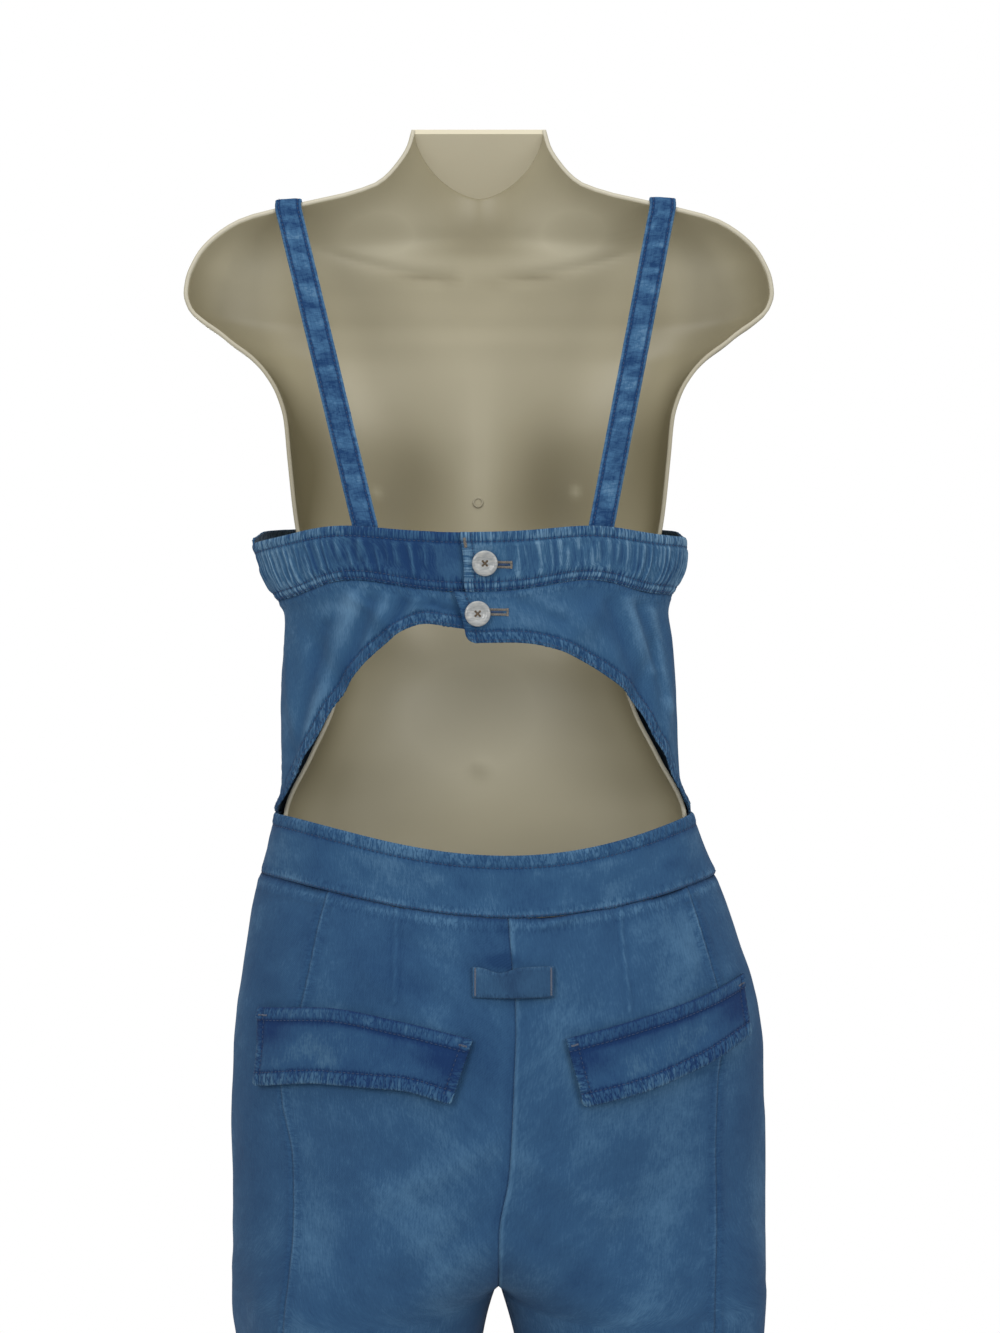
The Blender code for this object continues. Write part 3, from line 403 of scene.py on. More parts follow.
def make_torso():
    heights = np.linspace(FORM_FOOT, FORM_TOP, TORSO_ROWS)
    across = np.sin(np.linspace(-1, 1, TORSO_COLUMNS) * math.pi / 2) * 0.35
    across = across + np.linspace(-1, 1, TORSO_COLUMNS) * 0.65
    height, across = np.meshgrid(heights, across, indexing="ij")
    points = torso_point(across, height)
    edge = np.abs(across)
    x, z = points[..., 0], points[..., 2]
    # The tone paints light and shade: painted shade towards the side edges and under the arms, and
    # painted light low down, up towards the neck and along the rim.
    low = 1 - smoothstep(1.10, 1.26, z)
    shaded = smoothstep(0.62, 0.97, edge) * (1 - 0.75 * smoothstep(1.40, 1.46, z))
    tone = 0.50 - 0.46 * shaded + (0.20 + 0.80 * low) * smoothstep(0.985, 1.0, edge) + 0.30 * low
    tone += 0.18 * smoothstep(1.46, 1.53, z)
    tone = tone - 0.30 * smoothstep(0.84, 0.97, edge) * bump_at(x, z, x, 1.37, 1.0, 0.060)
    for place in TORSO_LIGHT_AND_SHADE:
        tone += place.rise * bump_at(x, z, *place[:4])
    finishes = [PLASTIC, PLASTIC, LIT_RIM_PLASTIC]
    torso = shell("torso_shell", points, SHEET_WALL, finishes, {"tone": tone})
    fit(torso, "display_torso")
    for name, level, rise in CAPS:
        edge = torso_point(np.linspace(-1, 1, 60), np.full(60, level))
        bm = bmesh.new()
        bm.faces.new([bm.verts.new(p) for p in edge])
        bmesh.ops.triangulate(bm, faces=bm.faces)
        made = bmesh.ops.extrude_face_region(bm, geom=bm.faces[:], use_keep_orig=True)
        raised = [v for v in made["geom"] if isinstance(v, bmesh.types.BMVert)]
        bmesh.ops.translate(bm, verts=raised, vec=(0, 0, rise))
        bmesh.ops.recalc_face_normals(bm, faces=bm.faces)
        fit(new_object(name, mesh_of(name, bm), CAP), "display_torso")


def make_hanging_hole():
    """The rolled rim of the small hole between the breasts, by which such a torso is hung."""
    place = Vector(torso_point(np.array(HOLE_ACROSS), np.array(HOLE_HEIGHT)))
    place = Matrix.Translation(place + Vector((0, SHEET_WALL, 0)))
    round_rim = [math.radians(30 * step) for step in range(13)]
    profile = [
        (HOLE_RADIUS + HOLE_ROLL * math.cos(angle), HOLE_ROLL * math.sin(angle))
        for angle in round_rim
    ]
    name = "torso_hole_rim"
    mesh = turned(name, profile, 32, place @ Matrix.Rotation(math.pi / 2, 4, "X"))
    fit(new_object(name, mesh, LIT_RIM_PLASTIC))


CAPS = (("torso_neck_cap", FORM_TOP, -0.003), ("torso_floor", FORM_FOOT, 0.005))
HOLE_ACROSS = 0.004
HOLE_HEIGHT = 1.3288
HOLE_RADIUS = 0.0032
HOLE_ROLL = 0.0009
CAP = torso_plastic("torso_cap", "#D3CBB2", "#DAD2BA", "#E0D9C3")
make_torso()
make_hanging_hole()

# The legs: a front and a back of washed 10 oz denim for each, sewn at the side, the inside leg
# and the seat, with a dart in each back. The cloth hangs straight in soft upright folds.

SEAM_GAP = 0.00001
HEM_HEIGHT = 0.055
SEAT_FOOT_HEIGHT = 0.84
SAG_FADES_HEIGHT = 0.93
WAIST_SEAM_HEIGHT = 1.0665
WAISTBAND_TOP = 1.1078
SEAT_SEAM_SAG = 0.0212
WAISTBAND_SAG = 0.0228
SAG_CENTRE_DEG = -6.0
CLOTH_OFF_FORM = 0.0040
STRAP_TUCK_ROOM = 0.0052
STRAP_TUCK_HEIGHTS = (1.300, 1.330)
SOFT_TOUCH = 0.003
DENIM = 0.0011
DOUBLE_DENIM = 0.0022

ClothSection = namedtuple("ClothSection", "height half_width shift back front")
CLOTH_SECTIONS = rows_of(
    ClothSection,
    (0.055, 0.159, -0.014, 0.076, 0.078), (0.3, 0.162, -0.0145, 0.079, 0.081),
    (0.5, 0.166, -0.0145, 0.084, 0.086), (0.65, 0.173, -0.014, 0.092, 0.093),
    (0.74, 0.18, -0.0135, 0.098, 0.099), (0.785, 0.183, -0.0135, 0.101, 0.103),
    (0.863, 0.1836, -0.014, 0.104, 0.106), (0.905, 0.183, -0.0138, 0.104, 0.107),
    (0.948, 0.182, -0.0132, 0.101, 0.107), (0.976, 0.1794, -0.0128, 0.097, 0.105),
    (0.99, 0.1768, -0.0122, 0.094, 0.104), (1.012, 0.1718, -0.0104, 0.09, 0.101),
    (1.039, 0.1653, -0.008, 0.083, 0.096), (1.066, 0.1565, -0.0065, 0.077, 0.092),
    (1.088, 0.149, -0.0045, 0.075, 0.089), (1.108, 0.1436, -0.003, 0.073, 0.087),
    (1.123, 0.1385, -0.002, 0.071, 0.088), (1.133, 0.1369, -0.001, 0.07, 0.089),
    (1.185, 0.1362, 0.0004, 0.066, 0.098), (1.226, 0.1342, 0.0005, 0.062, 0.11),
    (1.244, 0.1325, 0.0017, 0.061, 0.115), (1.254, 0.1358, 0.0036, 0.06, 0.118),
    (1.264, 0.1411, 0.0045, 0.06, 0.12), (1.276, 0.1465, 0.0047, 0.06, 0.122),
    (1.296, 0.1503, 0.0068, 0.061, 0.121), (1.33, 0.1495, 0.006, 0.061, 0.112),
    (1.36, 0.148, 0.005, 0.061, 0.1),
)

LegSplit = namedtuple("LegSplit", "height share")
LEG_SPLITS = rows_of(
    LegSplit,
    (0.055, 0.13), (0.4, 0.125), (0.64, 0.11), (0.73, 0.075), (0.785, 0.004), (0.815, -0.27),
    (0.845, -0.72), (0.878, -1), (1.07, -1),
)

SeamPlace = namedtuple("SeamPlace", "height left right turn_deg")
SEAM_PLACES = rows_of(
    SeamPlace,
    (0.055, 0.965, 0.965, 0), (0.5, 0.88, 0.88, 0), (0.785, 0.75, 0.775, 0),
    (0.845, 0.73, 0.772, 0), (0.885, 0.735, 0.775, -2), (0.932, 0.783, 0.79, -3),
    (0.985, 0.727, 0.838, -3.8), (1.066, 0.669, 0.839, -4.3),
)

Fold = namedtuple("Fold", "side angle_deg top bottom spread_deg rise")
FOLDS = rows_of(
    Fold,
    (1, 20, 0.97, 0.2, 13, 0.0042), (1, 62, 0.88, 0.06, 15, -0.0046),
    (1, 118, 0.95, 0.15, 14, 0.004), (1, 160, 0.9, 0.4, 12, -0.0036),
    (1, 205, 0.7, 0.06, 14, 0.004), (-1, 26, 0.95, 0.1, 14, -0.004),
    (-1, 58, 0.9, 0.25, 13, 0.0046), (-1, 108, 0.94, 0.06, 15, -0.004),
    (-1, 150, 0.92, 0.3, 13, 0.004), (-1, 200, 0.7, 0.1, 14, -0.0036),
)


def body(column, height):
    return read(CLOTH_SECTIONS, column, height)


def sag(angle):
    """The share of the back's sag at an angle round from the middle of the back."""
    turned = np.cos(angle - math.radians(SAG_CENTRE_DEG))
    return np.where(np.cos(angle) > -0.2, np.clip(turned, 0, 1) ** 3, 0.0)


def off_the_torso(x, y, height):
    """Moves the front of a section forward where the torso fills it."""
    room = CLOTH_OFF_FORM + STRAP_TUCK_ROOM * smoothstep(*STRAP_TUCK_HEIGHTS, height)
    reach = torso_front(x, height, room)
    depth = -y
    pushed = 0.5 * (depth + reach + np.sqrt((depth - reach) ** 2 + SOFT_TOUCH**2))
    return np.where(y < -0.01, -pushed, y)


def ring_point(angle, height, step_in=0.0):
    """A point of the bodice or waistband, at an angle from the back's middle towards the left."""
    half_width = body("half_width", height) - step_in
    behind = body("back", height) - step_in
    before = body("front", height)
    x = body("shift", height) + half_width * np.sin(angle)
    y = np.where(np.cos(angle) > 0, behind, before) * np.cos(angle)
    return stacked(x, off_the_torso(x, y, height), height)


def leg_centre(height):
    """The middle and half width of one leg's oval, measured from the line between the legs."""
    outside = body("half_width", height)
    inside = outside * read(LEG_SPLITS, "share", height)
    return (outside + inside) / 2, (outside - inside) / 2


def fold_rise(side, angle, height):
    """How far the soft folds lift the cloth of a leg, fading out at the seat seam."""
    total = np.zeros(np.broadcast(angle, height).shape)
    for fold in FOLDS:
        if fold.side != side:
            continue
        near = np.exp(-((np.degrees(angle) - 90 - fold.angle_deg) / fold.spread_deg) ** 2)
        length = smoothstep(fold.bottom - 0.03, fold.bottom + 0.10, height)
        length = length * (1 - smoothstep(fold.top - 0.12, fold.top, height))
        total += fold.rise * near * length
    return total


def leg_level(v):
    """The height of a row of a leg before the waist sags: v is 0 at the hem and 1 at the waist."""
    return HEM_HEIGHT + v * (WAIST_SEAM_HEIGHT - SEAM_GAP / 2 - HEM_HEIGHT)


def leg_point(side, angle, height, level=None):
    """A point of a leg at an angle round it: 0 at the inseam, a quarter turn at the back."""
    level = height if level is None else level
    centre, radius = leg_centre(level)
    outside = body("half_width", height)
    scale = outside / (centre + radius)
    behind = body("back", height)
    before = body("front", height)
    start = np.arccos(np.clip(centre / radius, -1, 1))
    from_seam = np.minimum(angle - start, 2 * math.pi - start - angle)
    rise = fold_rise(side, angle, height) * smoothstep(0.05, 0.75, from_seam)
    across = centre * scale - (radius * scale + rise) * np.cos(angle)
    x = body("shift", height) + side * across
    y = (np.where(np.sin(angle) > 0, behind, before) + rise) * np.sin(angle)
    return stacked(x, off_the_torso(x, y, height), height)


def leg_surface(side, from_back):
    """The surface of a front or back leg panel, from seam to seam and from hem to waist."""

    def surface(u, v):
        level = leg_level(v)
        share = 1 - u if (side > 0) == from_back else u
        centre, radius = leg_centre(level)
        start = np.arccos(np.clip((centre - SEAM_GAP / 2) / radius, -1, 1))
        turn = side * np.radians(read(SEAM_PLACES, "turn_deg", level))
        place = read(SEAM_PLACES, "left" if side > 0 else "right", level)
        seam = np.arccos((centre - place * (centre + radius)) / radius) - turn
        half_gap = SEAM_GAP / 2 / radius
        if from_back:
            angle = start + half_gap + share * (seam - start - 2 * half_gap)
        else:
            end = 2 * math.pi - start
            angle = end - half_gap - share * (end - seam - 2 * half_gap)
        angle = angle + turn
        around = side * (angle - math.pi / 2)
        fade = smoothstep(SAG_FADES_HEIGHT, WAIST_SEAM_HEIGHT, level)
        height = level - SEAT_SEAM_SAG * sag(around) * fade
        return leg_point(side, angle, height, level)

    return surface


def wander(at, pitch, seed):
    """Smooth uneven numbers from -1 to 1 along a line, one for each pitch."""
    draws = np.random.default_rng(seed).uniform(-1, 1, 1024)
    i = np.floor(at / pitch).astype(int)
    t = smoothstep(0.0, 1.0, at / pitch - i)
    return draws[i % 1024] * (1 - t) + draws[(i + 1) % 1024] * t


def rumple(a, b, pitch, seed):
    """Smooth uneven numbers from -1 to 1 over a sheet, one for each square of the pitch."""
    draws = np.random.default_rng(seed).uniform(-1, 1, (128, 128))
    i, j = np.floor(a / pitch).astype(int), np.floor(b / pitch).astype(int)
    s, t = smoothstep(0.0, 1.0, a / pitch - i), smoothstep(0.0, 1.0, b / pitch - j)
    low = draws[i % 128, j % 128] * (1 - s) + draws[(i + 1) % 128, j % 128] * s
    high = draws[i % 128, (j + 1) % 128] * (1 - s) + draws[(i + 1) % 128, (j + 1) % 128] * s
    return low * (1 - t) + high * t


Lay = namedtuple("Lay", [
    "points", "normal", "u", "v", "left", "right", "ends", "foot", "top", "foot_run", "top_run",
    "left_run", "right_run", "flat",
])


def lay_out(surface, columns, rows):
    """A panel's points, its distances in metres from each edge, and the run along each edge."""
    v, u = np.meshgrid(rows, columns, indexing="ij")
    points = surface(u, v)
    across = np.linalg.norm(np.diff(points, axis=1), axis=-1)
    upward = np.linalg.norm(np.diff(points, axis=0), axis=-1)
    run = np.pad(np.cumsum(across, axis=1), ((0, 0), (1, 0)))
    climb = np.pad(np.cumsum(upward, axis=0), ((1, 0), (0, 0)))
    along, up = np.gradient(points, axis=1), np.gradient(points, axis=0)
    lengths = np.linalg.norm(along, axis=-1) * np.linalg.norm(up, axis=-1)
    sine = np.linalg.norm(np.cross(along, up), axis=-1) / np.maximum(lengths, 1e-12)
    left, right = run * sine, (run[:, -1:] - run) * sine
    middle = run[:, columns.searchsorted(0.5)][:, None]
    return Lay(
        points, normals_of(surface, u, v), u, v, left, right, np.minimum(left, right),
        climb * sine, (climb[-1:] - climb) * sine, run[:1] + 0 * run, run[-1:] + 0 * run,
        climb[:, :1] + 0 * climb, climb[:, -1:] + 0 * climb,
        stacked(run - middle, climb, 0.0)[..., :2],
    )


def puckers(run, away, width, pitch, slant, seed):
    """The ridges that tight thread pulls up along a seam: broad crests, sharp creases between."""
    at = run + slant * away
    phase = at / pitch + 0.6 * wander(at, 2.6 * pitch, seed)
    ridge = 2 * np.abs(np.sin(math.pi * phase)) ** 0.6 - 1
    uneven = 0.62 + 0.38 * wander(at, 1.9 * pitch, seed + 1)
    return ridge * uneven * (1 - smoothstep(0.75 * width, 1.2 * width, away))


def groove(away, place, width):
    """1 on a line at a distance from an edge, fading out to each side."""
    return np.exp(-(((away - place) / width) ** 2))


Hem = namedtuple("Hem", "edge width pitch slant rise worn lines dip", defaults=[None, 0.0009])
Line = namedtuple("Line", "edge place wide rise worn")


def sewn(lay, hems, lines, seed):
    """What sewing does to a panel: how it rises, how it is worn and painted with light and shade,
    and how creased it is where.

    A hem puckers and fades along an edge, with painted shade in the groove of each stitch line. A
    line beside an edge is raised on its own, and made lighter or darker: wear, and painted light
    and shade along seams and edges.
    """
    rise = np.zeros(lay.u.shape)
    worn, creased, run_of, away_of = rise.copy(), rise.copy(), rise.copy(), rise.copy()
    for number, hem in enumerate(hems):
        away, run = getattr(lay, hem.edge), getattr(lay, hem.edge + "_run")
        ridge = puckers(run, away, hem.width, hem.pitch, hem.slant, seed + 5 * number)
        rise += hem.rise * ridge - hem.dip * groove(away, 0.0, 0.0011)
        inside = 1 - smoothstep(0.8 * hem.width, 1.1 * hem.width, away)
        worn += hem.worn * (0.60 * ridge + 0.45 * inside)
        for place in (hem.width,) if hem.lines is None else hem.lines:
            rise -= 0.0007 * groove(away, place, 0.0010)
            # The groove each stitch line presses in is darkened: painted shade.
            worn -= 1.9 * hem.worn * groove(away, place, 0.0009)
        here = hem.worn / 0.3 * (1 - smoothstep(0.85 * hem.width, 1.5 * hem.width, away))
        nearer = here > creased
        creased = np.where(nearer, here, creased)
        run_of, away_of = np.where(nearer, run, run_of), np.where(nearer, away, away_of)
    for line in lines:
        near = groove(getattr(lay, line.edge), line.place, line.wide)
        rise += line.rise * near
        worn += line.worn * near
    return rise, worn, (creased, run_of, away_of)


Crease = namedtuple("Crease", "start end wide rise")
Patch = namedtuple("Patch", "x height wide tall worn")


def creased_by(lay, creases):
    """How far soft creases lift a panel: each runs from start to end, given as x and z."""
    total = np.zeros(lay.u.shape)
    for crease in creases:
        total += crease.rise * groove(near_line(lay, *crease[:2]), 0.0, crease.wide)
    return total


def patches_of(lay, patches):
    x, z = lay.points[..., 0], lay.points[..., 2]
    return sum(p.worn * bump_at(x, z, p.x, p.height, p.wide, p.tall) for p in patches)


def near_line(lay, start, end):
    """How far each point of a back panel is from a straight line, given as x and z."""
    x, z = lay.points[..., 0], lay.points[..., 2]
    run = np.array(end) - np.array(start)
    share = ((x - start[0]) * run[0] + (z - start[1]) * run[1]) / (run @ run)
    share = np.clip(share, 0, 1)
    return np.hypot(x - start[0] - share * run[0], z - start[1] - share * run[1])


def denim(name, dark, middle, light):
    """Washed cotton twill denim. Its ribs are 0.5 mm apart and drawn 1.2 mm apart, to show.

    Indigo lies on the surface of the yarns, so it wears to pale blue on every ridge: an attribute
    on the mesh says where, and it also carries painted shade in grooves, creases and beside seams,
    and painted light on crests. "creased" is where a seam has shrunk, with the place along it and
    away from it, and there the wear breaks up into fine bars across the seam.
    """
    made, tree = new_finish(name)
    place = add(tree, "UVMap", uv_map="cloth").outputs[0]
    worn, creased, run, away = (
        add(tree, "Attribute", attribute_name=key).outputs["Fac"]
        for key in ("worn", "creased", "seam_run", "seam_away")
    )
    turned = add(tree, "Mapping", {"Vector": place, "Rotation": (0, 0, math.radians(28))})
    wave = {"Vector": turned.outputs[0], "Scale": 262.0, "Distortion": 2.5, "Detail": 2.0}
    ribs = add(tree, "TexWave", wave, bands_direction="X").outputs[1]
    upright = add(tree, "Mapping", {"Vector": place, "Scale": (1000.0, 150.0, 1.0)})
    slubs = noise(tree, upright.outputs[0], 1.0, 2.0)
    seam = add(tree, "CombineXYZ", {"X": scaled(tree, run, 420.0), "Y": scaled(tree, away, 110.0)})
    bars = scaled(tree, noise(tree, seam.outputs[0], 1.0, 2.5), 1.0, -0.5)
    ticks = add(tree, "Math", {0: bars}, operation="ABSOLUTE").outputs[0]
    ticks = scaled(tree, ticks, -15.0, 1.0, use_clamp=True)
    bars = scaled(tree, ticks, -0.58, scaled(tree, bars, 0.34, 0.03))
    bars = scaled(tree, bars, creased)
    flecks, mottle = noise(tree, place, 480.0, 3.0), noise(tree, place, 110.0, 4.0)
    clouds = noise(tree, place, 17.0, 3.0)
    shares = ((ribs, 0.02), (slubs, 0.40), (flecks, 0.26), (mottle, 0.30), (clouds, 0.74))
    total = scaled(tree, bars, 0.95, scaled(tree, worn, 0.5, 0.5))
    for source, share in shares:
        total = scaled(tree, source, share, total)
    total = scaled(tree, total, 1.0, -0.5 * sum(share for _, share in shares))
    height = scaled(tree, bars, 1.6, scaled(tree, ribs, 0.35, slubs))
    looks = {
        "Roughness": 0.92, "Specular IOR Level": 0.12, "Sheen Weight": 0.03,
        "Sheen Roughness": 0.6,
    }
    tones = [(0.0, dark), (0.5, middle), (1.0, light)]
    return dressed(made, total, tones, (height, 0.5, 0.0006), looks)


LEG_DENIM = denim("washed_denim", "#1A385C", "#2C4E70", "#4E7392")
REVERSE = denim("denim_reverse", "#3A4C63", "#5A6E85", "#8495A6")


LAYS = {}


def cloth(node, surface, columns, rows, work, wall, finish, rounded=()):
    """The cloth of a solid, kept in LAYS: work gives how far it rises, and how worn it is, with
    painted light and shade.

    columns and rows are their counts, or their shares of the way across and up. rounded holds
    the corners that are cut round, each by its two edges and its radius.
    """
    shares = (np.linspace(0, 1, n) if isinstance(n, int) else n for n in (columns, rows))
    lay = lay_out(surface, *shares)
    rise, worn, (creased, run, away) = work(lay)
    points = lay.points + rise[..., None] * lay.normal
    right, up = (unit(np.gradient(lay.points, axis=axis)) for axis in (1, 0))
    for side, end, radius in rounded:
        in_x, in_z = radius - getattr(lay, side), radius - getattr(lay, end)
        drawn = 1 - np.maximum(in_x, in_z) / np.maximum(np.hypot(in_x, in_z), 1e-9)
        drawn = np.where((in_x > 0) & (in_z > 0), drawn, 0.0)[..., None]
        points += drawn * in_x[..., None] * (right if side == "left" else -right)
        points += drawn * in_z[..., None] * (up if end == "foot" else -up)
    paint = {"worn": worn, "creased": creased, "seam_run": run, "seam_away": away}
    made = shell(f"{node}_cloth", points, wall, [finish, REVERSE, finish], paint, lay.flat)
    fit(made, node)
    LAYS[node] = lay._replace(points=points)


def thread(name, dark, light):
    """Spun polyester sewing thread, 0.4 mm thick, with its strands drawn 0.5 mm apart."""
    made, tree = new_finish(name)
    strands = noise(tree, object_place(tree), 2000.0, 1.0)
    looks = {"Roughness": 0.7, "Sheen Weight": 0.1}
    return dressed(made, strands, [(0.35, dark), (0.65, light)], (strands, 0.5, 0.0002), looks)


NAVY_THREAD = thread("navy_thread", "#14294A", "#27426A")
Stitches = namedtuple("Stitches", "centre along out long wide")


def seam_line(lay, edge, place):
    """A line on a panel at a distance from one of its edges, and the way out from the cloth."""
    away, points, normal = getattr(lay, edge), lay.points, lay.normal
    if edge in ("left", "right"):
        away, points, normal = away.T, points.swapaxes(0, 1), normal.swapaxes(0, 1)
    if edge in ("top", "right"):
        away, points, normal = away[::-1], points[::-1], normal[::-1]
    at = np.array([np.interp(place, column, np.arange(len(away))) for column in away.T])
    low = np.minimum(at.astype(int), len(away) - 2)
    t, each = (at - low)[:, None], np.arange(away.shape[1])
    line, out = (g[low, each] * (1 - t) + g[low + 1, each] * t for g in (points, normal))
    return line, out


def seam(lay, edge, place, first=0.0, last=1.0, long=0.0021, gap=0.0010):
    """Lock stitches along a line beside an edge, between two shares of its length."""
    line, out = seam_line(lay, edge, place)
    reach = np.append(0.0, np.cumsum(np.linalg.norm(np.diff(line, axis=0), axis=-1)))
    starts = np.arange(first * reach[-1], last * reach[-1] - long, long + gap)

    def at(where, values):
        return np.stack([np.interp(where, reach, values[:, axis]) for axis in range(3)], axis=-1)

    along = unit(at(starts + long, line) - at(starts, line))
    centre = at(starts + long / 2, line) + 0.00012 * at(starts, out)
    return Stitches(centre, along, unit(at(starts, out)), long, 0.00065)


def sew(name, finish, rows):
    """All the stitches of one kind on a piece: soft capsules, joined in one mesh."""
    bm = bmesh.new()
    bmesh.ops.create_uvsphere(bm, u_segments=6, v_segments=4, radius=0.5)
    points = np.array([v.co[:] for v in bm.verts])
    faces = np.array([[v.index for v in f.verts] + [-1] * (4 - len(f.verts)) for f in bm.faces])
    bm.free()
    every, placed = [], []
    for row in rows:
        across = np.cross(row.out, row.along)
        for centre, along, out, side in zip(row.centre, row.along, row.out, across):
            frame_of = np.stack([side * row.wide, out * row.wide, along * row.long])
            placed.append(points @ frame_of + centre)
            every.append(np.where(faces < 0, -1, faces + len(points) * len(every)))
    mesh = bpy.data.meshes.new(name)
    faces = [[i for i in face if i >= 0] for face in np.concatenate(every).tolist()]
    mesh.from_pydata(np.concatenate(placed).tolist(), [], faces)
    mesh.shade_smooth()
    fit(new_object(name, mesh, finish))


def topstitch(node, slot, *lines):
    """Navy stitches on the cloth of a solid: each line has an edge, and how far in it runs."""
    sew(f"{node}_stitches", NAVY_THREAD, [seam(LAYS[node], *line) for line in lines])


# Lines along the legs' edges: the dark lines at the top, under the waistband, and at and beside the
# seams are painted shade; the light lines are wear.
LEG_TOP_LINES = rows_of(Line, ("top", 0, 0.0018, 0, -0.75), ("top", 0.0045, 0.0022, 0, 0.3))
LEFT_MIDDLE_LINES = rows_of(
    Line,
    ("", 0.002, 0.0018, 0.0004, 0), ("", 0, 0.0008, 0, -0.6), ("", 0.0028, 0.0024, 0, -0.3),
)
RIGHT_MIDDLE_LINES = rows_of(Line, ("", 0.002, 0.0018, 0.0004, 0), ("", 0.0009, 0.0009, 0, 1.1))
BACK_SIDE_LINES = rows_of(
    Line,
    ("", 0.002, 0.0018, 0.0004, 0), ("", 0.001, 0.0008, 0, 0.5), ("", 0, 0.0007, 0, -0.3),
    ("", 0.0045, 0.0028, 0, -0.16),
)
FRONT_SIDE_LINES = rows_of(Line, ("", 0.002, 0.0018, 0.0004, 0), ("", 0.003, 0.0035, 0, -0.3))
# Each back leg's dart, from the waist down to its point, by x and z
DARTS = {1: ((0.0532, 1.056), (0.0532, 0.992)), -1: ((-0.0922, 1.056), (-0.0986, 0.9855))}
# Soft creases and patches, by x and z. A crease is painted lighter where its rise lifts the cloth
# and darker where it sinks: painted light and shade. The patches are lighter and darker wash, with
# painted shade and light among them.
LEG_CREASE_SHADING = 130.0
BACK_CREASES = {
    1: rows_of(
        Crease,
        ((0.1, 1.05), (0.122, 1.02), 0.006, 0.0012), ((0.05, 1.03), (0.004, 1.012), 0.007, -0.001),
        ((0.07, 1.01), (0.02, 0.975), 0.008, 0.001), ((-0.01, 0.905), (0.06, 0.87), 0.01, 0.0018),
        ((-0.008, 0.86), (0.05, 0.815), 0.009, -0.0016),
        ((0.02, 0.515), (0.12, 0.5), 0.014, 0.0022), ((0.03, 0.48), (0.11, 0.47), 0.012, -0.002),
    ),
    -1: rows_of(
        Crease,
        ((-0.078, 1.0505), (-0.042, 1.0395), 0.0024, 0.0014),
        ((-0.07, 1.052), (-0.034, 1.043), 0.0024, -0.0012),
        ((-0.12, 1.04), (-0.14, 1.012), 0.007, 0.0012),
        ((-0.035, 1), (-0.075, 0.985), 0.008, -0.0009),
        ((-0.02, 0.9), (-0.085, 0.862), 0.01, 0.0018),
        ((-0.02, 0.855), (-0.075, 0.812), 0.009, -0.0016),
        ((-0.05, 0.508), (-0.145, 0.52), 0.014, 0.0022),
        ((-0.06, 0.476), (-0.13, 0.486), 0.012, -0.0018),
    ),
}
FRONT_CREASES = {
    1: rows_of(
        Crease,
        ((-0.005, 0.835), (0.075, 0.868), 0.007, 0.0024),
        ((-0.004, 0.815), (0.085, 0.838), 0.006, -0.002), ((0, 0.8), (0.07, 0.806), 0.007, 0.002),
        ((0.03, 0.52), (0.115, 0.535), 0.013, 0.0022),
        ((0.025, 0.492), (0.105, 0.49), 0.012, -0.002),
    ),
    -1: rows_of(
        Crease,
        ((-0.02, 0.838), (-0.1, 0.862), 0.007, 0.0022),
        ((-0.022, 0.818), (-0.108, 0.832), 0.006, -0.0022),
        ((-0.025, 0.8), (-0.095, 0.802), 0.007, 0.0018),
        ((-0.055, 0.53), (-0.14, 0.518), 0.013, 0.0022),
        ((-0.05, 0.495), (-0.13, 0.482), 0.012, -0.002),
    ),
}
# Patches on the seat: painted shadow above the hanging loop, painted shade where the cloth puckers
# under the waist seam and round the loop, painted highlights, and lighter and darker wash.
SEAT_PATCHES = rows_of(
    Patch,
    (0.039, 1.0395, 0.016, 0.008, -0.3), (-0.0165, 1.0185, 0.0105, 0.004, -1.3),
    (-0.087, 1.038, 0.009, 0.011, -0.26), (0.037, 1, 0.018, 0.011, -0.26),
    (0.014, 0.981, 0.01, 0.01, -0.22), (-0.016, 1.042, 0.01, 0.006, -0.34),
    (0.072, 1.004, 0.03, 0.022, -0.52), (-0.122, 1.022, 0.018, 0.022, 0.22),
    (0.06, 0.925, 0.045, 0.028, 0.16), (-0.104, 0.923, 0.04, 0.025, 0.12),
    (0.112, 1.036, 0.012, 0.014, -0.2), (0.095, 1.02, 0.008, 0.012, 0.12),
    (-0.06, 1, 0.016, 0.014, 0.1), (0.01, 1.052, 0.02, 0.005, 0.12),
    (0.14, 0.985, 0.012, 0.03, 0.1), (-0.15, 0.93, 0.012, 0.03, -0.26),
    (0, 0.95, 0.014, 0.055, -0.36), (0.15, 0.9, 0.01, 0.05, -0.16),
    (-0.05, 0.88, 0.03, 0.022, -0.2), (0.1, 0.965, 0.04, 0.006, -0.26),
    (-0.1, 0.972, 0.04, 0.006, -0.2),
)
# Patches on the waistband: lighter and darker wash, and the painted shade of a fold near its right
# side seam.
WAIST_PATCHES = rows_of(
    Patch,
    (0.11, 1.08, 0.024, 0.02, -0.3), (0.06, 1.086, 0.016, 0.008, 0.14),
    (-0.04, 1.066, 0.012, 0.006, -0.2), (-0.1, 1.07, 0.014, 0.008, -0.16),
    (-0.128, 1.076, 0.008, 0.005, -0.4), (0.02, 1.066, 0.014, 0.005, -0.18),
)


